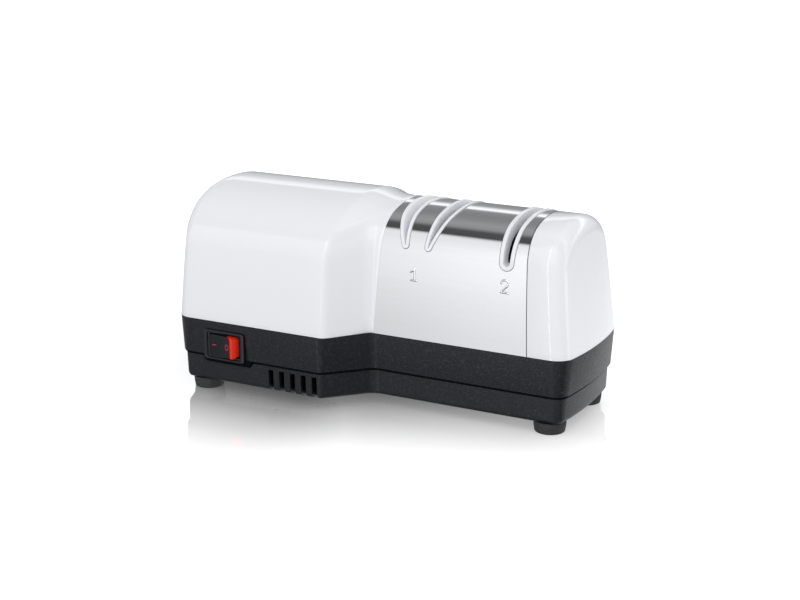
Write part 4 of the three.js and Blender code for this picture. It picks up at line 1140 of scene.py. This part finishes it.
def plan(inset, cuts=()):
    """The base's outline from above, moved in by inset, with extra points at the cuts along the front."""
    shell = sizes()[0]
    at = Stations()
    front, near = shell.motor_depth / 2 - inset, shell.guide_depth / 2 - inset
    turned = math.atan2((shell.motor_depth - shell.guide_depth) / 2, shell.neck_length)
    skew = inset * math.tan(turned / 2)
    left, right = at.left + inset, at.right - inset
    clear = 0.001

    def convex(radius):
        return max(radius - inset, shell.fit)

    def end_line(x, half, radius):
        return [(x, y, 0, 0) for y in spread(half, -half, 20) if abs(y) < half - radius - clear]

    turns = [
        (left, front, convex(shell.left_edge), 8),
        (at.knee - skew, front, convex(shell.knee_edge), 8),
        (at.neck - skew, near, shell.neck_edge + inset, 8),
        (right, near, convex(shell.right_edge), 10),
    ]
    before = [(x, -y, radius, steps) for x, y, radius, steps in turns]
    corners = [*end_line(left, front, shell.left_edge), before[0], *((x, -front, 0, 0) for x in cuts), *before[1:],
               *end_line(right, near, shell.right_edge)[::-1], *turns[::-1]]
    points = []
    for x, y in filleted(corners):
        if x < at.knee:
            x += min(1.0, (at.knee - x) / shell.motor_length) * bow_at(-shell.left_bow, y, shell.motor_depth / 2)
        else:
            weight = min(1.0, max(0.0, (x - at.steel_right) / (at.right - at.steel_right)))
            x += weight * bow_at(shell.right_bow, y, shell.guide_depth / 2)
        points.append((x, y))
    return points


def tab_cuts():
    """Places along the front where the tab's outline turns."""
    base = sizes()[2]
    at = Stations()
    left, right = at.tab_x - base.tab_width / 2, at.tab_x + base.tab_width / 2
    bends = [base.tab_corner * cosine for _, cosine in quarter(6)]
    return [left - 0.0002, *(left + b for b in bends), at.tab_x, *(right - b for b in bends[::-1]), right + 0.0002]


def tab_share(x, y):
    """1 on the tab, 0 off it, rounded at its lower corners."""
    base = sizes()[2]
    inward = base.tab_width / 2 - abs(x - Stations().tab_x)
    if y > 0 or inward < -1e-6:
        return 0.0
    off = max(0.0, 1 - inward / base.tab_corner)
    rise = base.tab_corner / base.tab_below
    return 1 - rise * (1 - math.sqrt(max(0.0, 1 - off * off)))


def box_tool(low, high):
    (x0, y0, z0), (x1, y1, z1) = low, high
    floor = [(x0, y0, z0), (x1, y0, z0), (x1, y1, z0), (x0, y1, z0)]
    return made("box_tool", Skin().tube([floor, [(x, y, z1) for x, y, z in floor]]))


def rod_tool(radius, start, end):
    axis = (Vector(end) - Vector(start)).normalized()
    side = axis.orthogonal().normalized()
    other = axis.cross(side)
    rings = [[Vector(point) + (side * math.cos(a) + other * math.sin(a)) * radius for a in circle(32)]
             for point in (start, end)]
    return made("rod_tool", Skin().tube(rings))


class SHARPENER_OT_band(bpy.types.Operator):
    """Black upper band with the tab under the switch"""

    bl_idname = "sharpener.band"
    bl_label = "Base band"

    def execute(self, context):
        shell, _, base, switch = sizes()
        at = Stations()
        cuts = tab_cuts()
        weights = [tab_share(x, y) for x, y in plan(0, cuts)]
        slope = base.taper / (shell.seam - base.groove)

        def level(z, extra):
            inset = slope * (shell.seam - z) + extra
            return [(x, y, z) for x, y in plan(inset, cuts)]

        rows = [level(shell.seam, shell.wall)]
        rows += [level(shell.seam - base.top_edge * cosine, base.top_edge * sine) for sine, cosine in quarter(3)]
        profile = [(base.groove + base.lip_height, 0.0, 0.0),
                   (base.groove + base.lip_height * 0.3, base.lip * 0.4, 0.0),
                   (base.groove, base.lip, 1.0), (base.groove, shell.wall, 1.0)]
        for z, extra, drop in profile:
            inside = extra >= shell.wall
            flat, edge = level(z, extra), level(z, min(extra, shell.wall) * drop)
            low = level(z - base.tab_below, extra if inside else 0.0)
            row = []
            for k, weight in enumerate(weights):
                if weight == 0:
                    row.append(flat[k])
                    continue
                height = z - base.tab_below * weight * drop
                front = slope * (shell.seam - height) - shell.motor_depth / 2
                row.append((flat[k][0], low[k][1], height) if inside else (edge[k][0], front, height))
            rows.append(row)
        skin = Skin()
        skin.grid(rows[:6], round_columns=True)
        # The lip, the groove and the inner wall are painted shade: near black plastic without gloss
        skin.grid([*rows[5:], rows[0]], round_columns=True, finish=1)
        piece = made("base_band", skin, "black_plastic", "gap_plastic")
        reach = shell.wall * 4
        wall = shell.motor_depth / 2
        wide, tall = switch.body_width / 2 + shell.fit / 2, switch.body_height / 2 + shell.fit / 2
        hole_x, hole_z = at.left + base.cord_from_corner, shell.seam - base.cord_below_seam
        cut(
            piece,
            box_tool((at.switch_x - wide, -wall - reach, at.switch_z - tall),
                     (at.switch_x + wide, -wall + reach, at.switch_z + tall)),
            rod_tool(base.cord_hole, (hole_x, wall - reach, hole_z), (hole_x, wall + reach, hole_z)),
        )
        seat(smooth(piece, 28), "housing", ["base_frame"])
        return {"FINISHED"}


class SHARPENER_OT_pan(bpy.types.Operator):
    """Black lower pan with its vent slots"""

    bl_idname = "sharpener.pan"
    bl_label = "Base pan"

    def execute(self, context):
        shell, _, base, _ = sizes()
        at = Stations()
        cuts = tab_cuts()
        top, step, soft = base.groove - shell.fit, base.pan_step, base.pan_top_edge
        low, drop = step + base.pan_taper, base.tab_below + shell.fit
        weights = [tab_share(x, y) for x, y in plan(0, cuts)]

        def level(z, inset, drop=0.0):
            return [(x, y, z - drop * weight) for (x, y), weight in zip(plan(inset, cuts), weights)]

        rows = [level(base.foot + base.pan_floor, low + shell.wall),
                level(top - base.tab_below * 1.2, step + shell.wall), level(top, step + shell.wall, drop),
                level(top, step + soft, drop), level(top - soft * 0.4, step + soft * 0.3, drop),
                level(top - soft, step, drop)]
        rows += [level(base.foot + base.pan_edge * sine, low + base.pan_edge * cosine) for sine, cosine in quarter(6)]
        piece = made("base_tray", Skin().tube(rows), "black_plastic")
        half, reach, below = base.vent_width / 2, base.vent_reach, 0.001
        tools = []
        for y in (-shell.motor_depth / 2, shell.motor_depth / 2):
            for i in range(base.vents):
                x = at.knee - base.vent_from_knee - i * base.vent_pitch
                tools.append(box_tool((x - half, y - reach, base.foot - below),
                                      (x + half, y + reach, base.groove - base.vent_below_groove)))
        cut(piece, *tools)
        seat(smooth(piece, 28), "housing", ["base_pan"])
        return {"FINISHED"}


# Feet


def repeat_tree():
    """Sets the geometry at the four corners of the base."""
    tree = bpy.data.node_groups.new("four_corners", "GeometryNodeTree")
    inputs = [("Geometry", "Geometry"), *((name, "Float") for name in ("Left X", "Left Y", "Right X", "Right Y")),
              ("Finish", "Material")]
    for name, kind in inputs:
        tree.interface.new_socket(name, in_out="INPUT", socket_type="NodeSocket" + kind)
    tree.interface.new_socket("Geometry", in_out="OUTPUT", socket_type="NodeSocketGeometry")
    nodes, link = tree.nodes, tree.links.new

    def times(value, factor):
        node = nodes.new("ShaderNodeMath")
        node.operation = "MULTIPLY"
        node.inputs[1].default_value = factor
        link(value, node.inputs[0])
        return node.outputs[0]

    given = nodes.new("NodeGroupInput")
    join = nodes.new("GeometryNodeJoinGeometry")
    for side in ("Left", "Right"):
        line = nodes.new("GeometryNodeMeshLine")
        line.inputs["Count"].default_value = 2
        start, step = nodes.new("ShaderNodeCombineXYZ"), nodes.new("ShaderNodeCombineXYZ")
        link(given.outputs[side + " X"], start.inputs["X"])
        link(times(given.outputs[side + " Y"], -1), start.inputs["Y"])
        link(times(given.outputs[side + " Y"], 2), step.inputs["Y"])
        link(start.outputs[0], line.inputs["Start Location"])
        link(step.outputs[0], line.inputs["Offset"])
        link(line.outputs["Mesh"], join.inputs["Geometry"])
    instance = nodes.new("GeometryNodeInstanceOnPoints")
    real = nodes.new("GeometryNodeRealizeInstances")
    paint = nodes.new("GeometryNodeSetMaterial")
    link(join.outputs["Geometry"], instance.inputs["Points"])
    link(given.outputs["Geometry"], instance.inputs["Instance"])
    link(instance.outputs["Instances"], real.inputs["Geometry"])
    link(real.outputs["Geometry"], paint.inputs["Geometry"])
    link(given.outputs["Finish"], paint.inputs["Material"])
    link(paint.outputs["Geometry"], nodes.new("NodeGroupOutput").inputs["Geometry"])
    return tree


def at_corners(name, skin, finish, tree):
    shell, _, base, _ = sizes()
    at = Stations()
    piece = made(name, skin, finish)
    change = piece.modifiers.new("corners", "NODES")
    change.node_group = tree
    places = {
        "Left X": at.left + base.foot_left,
        "Left Y": shell.motor_depth / 2 - base.foot_left_in,
        "Right X": at.right - base.foot_right,
        "Right Y": shell.guide_depth / 2 - base.foot_right_in,
        "Finish": finish_set()[finish],
    }
    for item in tree.interface.items_tree:
        if item.in_out == "INPUT" and item.name in places:
            change[item.identifier] = places[item.name]
    return smooth(settled(piece), 35)


class SHARPENER_OT_feet(bpy.types.Operator):
    """Rubber feet with their screws"""

    bl_idname = "sharpener.feet"
    bl_label = "Feet"

    def execute(self, context):
        base = sizes()[2]
        tree = repeat_tree()
        r, h, soft, taper = base.foot_radius, base.foot, 0.0008, 0.0005
        hole, recess, deep = 0.00165, 0.0042, 0.0026
        outline = [(hole, deep), (recess - 0.0004, deep), (recess, deep - 0.0004), (recess, 0.0003),
                   (recess + 0.0003, 0.0)]
        outline += [(r - taper - soft * sine, soft * cosine) for sine, cosine in quarter(4)]
        outline += [(r - 0.0002, deep), (r, h - 0.0006), (r - 0.0003, h), (hole, h)]
        names = ["front_left", "front_right", "back_left", "back_right"]
        feet = at_corners("rubber_feet", turned_ring(outline, 48, (0, 0, 0), (0, 0, 1)), "rubber", tree)
        seat(feet, "housing", ["foot_" + n for n in names])
        head, shank, long, seat_z = 0.0032, 0.0015, 0.011, deep - 0.00015
        low = seat_z - 0.0018
        outline = [(0.0009, low + 0.0009), (0.0011, low), (head - 0.0012, low), (head - 0.0003, low + 0.0005),
                   (head, low + 0.0012), (head, seat_z), (shank, seat_z), (shank, seat_z + long),
                   (0.0002, seat_z + long + 0.001), (0.0002, low + 0.0009)]
        screws = at_corners("foot_screws", turned_ring(outline, 24, (0, 0, 0), (0, 0, 1)), "bright_steel", tree)
        seat(screws, "housing", ["foot_screw_" + n for n in names])
        return {"FINISHED"}


# Switch and cord bush


def rounded_box(width, height, radius, steps=6):
    """A rounded rectangle as (across, up)."""
    points = []
    for corner, (sx, sz) in enumerate(((1, -1), (1, 1), (-1, 1), (-1, -1))):
        for angle in spread((corner - 1) * QUARTER, corner * QUARTER, steps):
            points.append((sx * (width / 2 - radius) + radius * math.cos(angle),
                           sz * (height / 2 - radius) + radius * math.sin(angle)))
    return points


def switch_face():
    """Y of the band's wall, which the bezel stands on."""
    shell, _, base, switch = sizes()
    top = Stations().switch_z + switch.bezel_height / 2
    inset = base.taper * (shell.seam - top) / (shell.seam - base.groove)
    return -shell.motor_depth / 2 + inset - shell.fit / 2


class SHARPENER_OT_switch(bpy.types.Operator):
    """Rocker switch: bezel, rocker with its red flank, and its two marks"""

    bl_idname = "sharpener.switch"
    bl_label = "Rocker switch"

    def execute(self, context):
        shell, _, _, switch = sizes()
        at = Stations()
        x, z = at.switch_x, at.switch_z
        front = switch_face() - switch.flange
        pivot = front + switch.pivot_depth
        radius = switch.rocker_width / 2
        heel = radius * switch.heel_share
        w, h, corner, fit = switch.bezel_width, switch.bezel_height, switch.bezel_corner, shell.fit
        well_w, well_h = switch.rocker_width + 2 * fit, switch.rocker_height + 2 * fit
        well_back = pivot + math.hypot(heel, switch.heel) + fit
        body_w, body_h, wall = switch.body_width, switch.body_height, front + switch.flange
        back = wall + switch.body_depth
        # From the body's back over the bezel into the well: width, height, corner radius and y
        rings = [
            (body_w - 0.0005, body_h - 0.0005, 0.0006, back), (body_w, body_h, 0.0008, back - 0.0004),
            (body_w, body_h, 0.0008, wall), (w - 0.0002, h - 0.0002, corner - 0.0001, wall),
            (w, h, corner, front + switch.flange * 0.75), (w, h, corner, front + 0.0004),
            (w - 0.0003, h - 0.0003, corner - 0.0001, front + 0.0001), (w - 0.0009, h - 0.0009, 0.0011, front),
            (w - 0.0032, h - 0.0019, 0.001, front), (w - 0.0037, h - 0.0023, 0.0009, front + 0.0002),
            (w - 0.0041, h - 0.0027, 0.0008, front + 0.0009), (well_w + 0.0003, well_h + 0.0003, 0.0006, front + 0.001),
            (well_w, well_h, 0.0005, front + 0.0013), (well_w, well_h, 0.0005, well_back),
        ]
        rows = [[(x + a, y, z + b) for a, b in rounded_box(width, height, bend)] for width, height, bend, y in rings]
        body = made("switch_bezel", Skin().tube(rows), "inner_plastic")
        seat(smooth(body, 30), "housing", ["switch_body"])

        tip, dip = switch.tip, switch.dip
        half, rise = radius * math.cos(tip), radius * math.sin(tip)
        ledge = math.asin((rise - switch.panel) / radius)
        spin = Matrix.Rotation(-switch.tilt, 3, "Z")

        def stand(across, inward, up):
            """A point of the rocker, given from its pivot, in its tilt at rest."""
            return Vector((x, pivot, z)) + spin @ Vector((across, inward, up))

        def flank(start, end):
            return [(radius * math.cos(a), -radius * math.sin(a)) for a in spread(start, end, 10)]

        def dish(across):
            return dip * math.cos(across / half * QUARTER) - rise

        def bar(name, outline, finish, edge, node, pins=False):
            """A piece of the rocker: an outline run through its height, with the rocker's rounded corners."""
            rings = [[stand(a, b, side * switch.rocker_height / 2) for a, b in outline] for side in (-1, 1)]
            piece = made(name, Skin().tube(rings), finish)
            ring = rounded_box(switch.rocker_width, switch.rocker_height, switch.rocker_corner, 10)
            tool = Skin().tube([[stand(a, side * radius, b) for a, b in ring] for side in (-1, 1)])
            cut(piece, made("rounded_tool", tool), operation="INTERSECT")
            round_edges(piece, edge, 3, 35)
            if pins:
                reach = switch.rocker_height / 2 + switch.pin_length
                cut(piece, rod_tool(switch.pin, stand(0, 0, -reach), stand(0, 0, reach)), operation="UNION")
            return seat(smooth(piece, 40), "rocker", [node])

        middle = (0.0, switch.panel + dip - rise)
        under = [(-heel, switch.heel), (heel, switch.heel)]
        body_line = [*flank(0, ledge), middle, *flank(math.pi - ledge, math.pi), *under]
        side_x, side_y = radius * math.cos(ledge), switch.panel - rise
        panel_line = [*((a, dish(a)) for a in spread(half, -half, 24)), (-side_x, side_y), middle, (side_x, side_y)]
        bar("rocker", body_line, "red_plastic", 0.00022, "switch_rocker", pins=True)
        bar("rocker_face", panel_line, "rocker_panel", 0.00025, "rocker_panel")

        def printed(corners):
            """Rows of a mark on the rocker's dish, from pairs of (across, up) on its two edges."""
            raised = 0.00004
            rows = []
            for (u0, v0), (u1, v1) in corners:
                line = ((u0, v0, -raised), (u0, v0, raised), (u1, v1, raised), (u1, v1, -raised))
                rows.append([stand(u, dish(u) - lift, v) for u, v, lift in line])
            return rows

        long, line = switch.on_width / 2, switch.line / 2
        dash = Skin().tube(printed([((u, -line), (u, line))
                                    for u in spread(switch.on_place - long, switch.on_place + long, 8)]))
        tall, wide, line = switch.off_height / 2, switch.off_width / 2, 0.0003
        ring = Skin()
        ring.grid(printed([[(switch.off_place + rx * math.cos(a), rz * math.sin(a))
                            for rx, rz in ((wide - line, tall - line), (wide, tall))] for a in circle(32)]),
                  round_rows=True, round_columns=True)
        for name, skin in (("mark_on", dash), ("mark_off", ring)):
            seat(made(name, skin, "switch_mark"), "rocker", ())
        return {"FINISHED"}


class SHARPENER_OT_cord_bush(bpy.types.Operator):
    """Moulded bush that lines the cable hole"""

    bl_idname = "sharpener.cord_bush"
    bl_label = "Cord bush"

    def execute(self, context):
        low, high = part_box("cord_bush")
        centre = ((low[0] + high[0]) / 2, 0, (low[2] + high[2]) / 2)
        inner, outer = low[1], high[1]
        bore, neck, flange, soft = 0.0034, 0.0048, 0.007, 0.0011
        wall = inner + 0.009
        outline = [(bore, inner), (neck, inner), (neck, wall), (flange, wall), (flange, outer - soft)]
        outline += [(flange - soft * cosine, outer - soft * sine) for sine, cosine in quarter(5, 1)]
        outline += [(bore + 0.0009, outer), (bore + 0.0003, outer - 0.0002), (bore, outer - 0.0009)]
        piece = made("cable_bush", turned_ring(outline, 48, centre, (0, 1, 0)), "rubber")
        seat(smooth(piece, 35), "housing", ["cord_bush"])
        return {"FINISHED"}


class SHARPENER_OT_wheel_coils(bpy.types.Operator):
    """Spring between the coarse wheels: a half for each wheel"""

    bl_idname = "sharpener.wheel_coils"
    bl_label = "Wheel spring"

    def execute(self, context):
        low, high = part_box("wheel_spring")
        wire, turns, steps, sides = 0.0006, 2.5, 90, 14
        middle = (low[0] + high[0]) / 2
        reach = (high[0] - low[0]) / 2
        centre = (low[2] + high[2]) / 2
        radius = (high[1] - low[1]) / 2 - wire
        ranges = {joint["name"]: joint.get("range_m") for joint in frame["record"]["behaviour"]["joints"]}
        for name, sign in (("left", -1), ("right", 1)):
            rings = []
            for along in spread(0, sign, steps):
                angle = 2 * math.pi * turns * along
                out = Vector((0, math.cos(angle), math.sin(angle)))
                place = Vector((middle + along * (reach - wire), 0, centre)) + out * radius
                rings.append([place + (out * math.cos(a) + Vector((1, 0, 0)) * math.sin(a)) * wire
                              for a in circle(sides)])
            piece = made("wheel_coil_" + name, Skin().tube(rings), "bright_steel")
            seat(smooth(piece, 50), "rotor", ["wheel_spring"])
            joint = "coarse_%s_slide" % name
            keep = 1 - ranges[joint][1] / reach
            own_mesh(piece)
        return {"FINISHED"}


class SHARPENER_OT_inner_parts(bpy.types.Operator):
    """Finishes of the motor, the drive and the abrasive wheels, which keep their CAD shapes"""

    bl_idname = "sharpener.inner_parts"
    bl_label = "Inner parts"

    def execute(self, context):
        finishes = finish_set()
        slots_of = {row["node"]: row["material_slot"] for row in frame["record"]["subparts"]}
        for name, node in frame["nodes"].items():
            finish = finishes[slots_of[name]]
            if not node.material_slots:
                node.data.materials.append(finish)
            for slot in node.material_slots:
                slot.material = finish
        return {"FINISHED"}


# Stage


# Brightness of the room that gloss sees, by degrees: the first over its front, top and back, where 0 is the
# horizon in front and 90 is straight up, and the second round about, where 0 is the front and 90 the right
ROOM_OVER = [
    (-180, 0.2), (-173, 0.26), (-166, 0.8), (-150, 0.6), (-120, 0.6), (-105, 0.3), (-75, 0.3), (-60, 0.7),
    (-30, 0.85), (-13, 0.92), (-7, 1.02), (-3, 1.14), (12, 1.16), (30, 1.2), (42, 1.2), (52, 1.22), (58, 1.0),
    (62.5, 0.09), (80, 0.11), (92, 0.38), (106, 0.4), (118, 0.34), (135, 0.27), (147, 0.3), (150, 0.55),
    (151.5, 1.7), (154, 1.2), (158, 1.0), (161, 0.5), (166, 0.34), (177, 0.33), (180, 0.3),
]
ROOM_BESIDE = [
    (-180, 1.0), (-60, 0.8), (-33, 0.8), (-28, 0.87), (-23, 1.03), (-15, 1.03), (-12.5, 3.9), (-8, 3.9), (-6, 1.0),
    (40, 1.0), (60, 0.6), (84, 0.6), (92, 3.6), (104, 3.6), (112, 1.6), (180, 1.6),
]


class SHARPENER_OT_stage(bpy.types.Operator):
    """Pale floor, soft white room, lights and camera"""

    bl_idname = "sharpener.stage"
    bl_label = "Stage"

    def execute(self, context):
        scene = context.scene
        stage = scene.stage_sizes
        self.camera(scene, stage)
        self.room(scene, stage)
        self.floor(stage)
        self.lamp("key", place=(0.4, -1.4, 1.5), side=1.6, power=stage.key)
        scene.view_settings.view_transform = "Standard"
        return {"FINISHED"}

    def camera(self, scene, stage):
        data = bpy.data.cameras.new("camera")
        data.sensor_width = 36
        data.lens = stage.lens
        data.clip_start, data.clip_end = 0.05, 50
        camera = bpy.data.objects.new("camera", data)
        camera.location = stage.place
        camera.rotation_euler = (QUARTER - stage.elevation, 0, stage.azimuth)
        scene.collection.objects.link(camera)
        scene.camera = camera

    def lamp(self, name, place, side, power):
        data = bpy.data.lights.new(name, "AREA")
        data.shape = "SQUARE"
        data.size = side
        data.energy = power
        lamp = bpy.data.objects.new(name, data)
        lamp.location = place
        lamp.rotation_euler = (Vector((0, 0, 0.05)) - Vector(place)).to_track_quat("-Z", "Y").to_euler()
        bpy.context.scene.collection.objects.link(lamp)

    def room(self, scene, stage):
        """White to the eye and to plain light; gloss sees bands over the height and strips round about."""
        world = scene.world or bpy.data.worlds.new("room")
        scene.world = world
        paint = Paint("room", world)
        x, y, z = paint.axes(paint.node("ShaderNodeTexCoord").outputs["Generated"])

        def around(side, front, levels):
            """A grey ramp over the angle from the front, given as (degrees, level)."""
            angle = side.of("ARCTAN2", 0.0 - front) / math.pi
            top = max(level for _, level in levels)
            stops = [(0.5 + degrees / 360, (level / top,) * 3) for degrees, level in levels]
            ramp = paint.node("ShaderNodeValToRGB", {"stops": stops}, {"Fac": 0.5 + 0.5 * angle})
            return Maths(paint, ramp.outputs["Color"]) * top

        over = around(z, y, ROOM_OVER)
        beside = around(x, y, ROOM_BESIDE)
        rays = paint.node("ShaderNodeLightPath")
        white, cool = (1, 1, 1), (0.965, 0.982, 1)
        plain = paint.shader("Background", Color=white, Strength=stage.daylight)
        mirror = paint.shader("Background", Color=cool, Strength=over * beside)
        seen = paint.shader("Background", Color=white, Strength=1.0)
        lit = paint.mixed(rays.outputs["Is Glossy Ray"], plain, mirror)
        whole = paint.mixed(rays.outputs["Is Camera Ray"], lit, seen)
        paint.node("ShaderNodeOutputWorld", {}, {"Surface": whole})

    def floor(self, stage):
        """Pale floor that mirrors the object close by and is plain white farther off."""
        shell = sizes()[0]
        at = Stations()
        paint = Paint("floor")
        x, y, _ = paint.axes(paint.place())

        def outside(low, high, deep):
            """Distance from a rectangle in plan."""
            across = ((x - (low + high) / 2).of("ABSOLUTE") - (high - low) / 2).of("MAXIMUM", 0.0)
            behind = (y.of("ABSOLUTE") - deep / 2).of("MAXIMUM", 0.0)
            return (across * across + behind * behind) ** 0.5

        under = shell.motor_depth / 5
        motor = outside(at.left - shell.left_bow + under, at.knee - under, shell.motor_depth - 2 * under)
        guide = outside(at.knee - under, at.right - under, shell.guide_depth - 2 * under)
        away = motor.of("MINIMUM", guide)
        left_end, right_end = -0.05, 0.12
        right = x.between(left_end, right_end)
        strength = stage.mirror_left + (stage.mirror_right - stage.mirror_left) * right
        # The reflection reaches less far at the right, and fades a little faster than its distance grows
        near = (1 - away / (stage.mirror_reach * (1 - 0.3 * right))).of("MAXIMUM", 0.0) ** 1.1
        rays = paint.node("ShaderNodeLightPath")
        eye = Maths(paint, rays.outputs["Is Camera Ray"])
        glow = paint.shader("Emission", Color=(1, 1, 1), Strength=stage.glow * eye)
        plain = paint.shader("BsdfDiffuse", Color=(0.8, 0.8, 0.8))
        white = paint.node("ShaderNodeAddShader", {}, {0: plain, 1: glow}).outputs[0]
        mirror = paint.shader("BsdfGlossy", Color=(1, 1, 1), Roughness=0.03)
        seen = paint.mixed(strength * near, white, mirror)
        # Gloss looks through the floor at the room, whose lower half is the floor that gloss sees
        total = paint.mixed(rays.outputs["Is Glossy Ray"], seen, paint.shader("BsdfTransparent"))
        paint.node("ShaderNodeOutputMaterial", {}, {"Surface": total})
        skin = Skin()
        side = stage.floor
        skin.face([(-side, -side, 0), (side, -side, 0), (side, side, 0), (-side, side, 0)])
        floor = made("floor", skin, outward=False)
        floor.data.materials.append(paint.owner)


class SHARPENER_PT_panel(bpy.types.Panel):
    """Lists the pieces and their sizes"""

    bl_idname = "SHARPENER_PT_panel"
    bl_label = "Sharpener"
    bl_space_type = "VIEW_3D"
    bl_region_type = "UI"
    bl_category = "Sharpener"

    def draw(self, context):
        for piece in PIECES:
            self.layout.operator(piece.bl_idname)
        for name, group in GROUPS.items():
            box = self.layout.box()
            for key in group.__annotations__:
                box.prop(getattr(context.scene, name), key)


GROUPS = {
    "shell_sizes": ShellSizes,
    "slot_sizes": SlotSizes,
    "base_sizes": BaseSizes,
    "switch_sizes": SwitchSizes,
    "finishes": Finishes,
    "stage_sizes": StageSizes,
}
PIECES = (
    SHARPENER_OT_stage,
    SHARPENER_OT_inner_parts,
    SHARPENER_OT_motor_shell,
    SHARPENER_OT_end_cap,
    SHARPENER_OT_steel,
    SHARPENER_OT_guides,
    SHARPENER_OT_numerals,
    SHARPENER_OT_band,
    SHARPENER_OT_pan,
    SHARPENER_OT_feet,
    SHARPENER_OT_switch,
    SHARPENER_OT_cord_bush,
    SHARPENER_OT_wheel_coils,
)


def register():
    for each in (*GROUPS.values(), *PIECES, SHARPENER_PT_panel):
        bpy.utils.register_class(each)
    for name, group in GROUPS.items():
        setattr(bpy.types.Scene, name, PointerProperty(type=group))


def unregister():
    for name in GROUPS:
        delattr(bpy.types.Scene, name)
    for each in (SHARPENER_PT_panel, *PIECES[::-1], *list(GROUPS.values())[::-1]):
        bpy.utils.unregister_class(each)


def main():
    register()
    for piece in PIECES:
        family, name = piece.bl_idname.split(".")
        getattr(getattr(bpy.ops, family), name)()


if __name__ == "__main__":
    main()
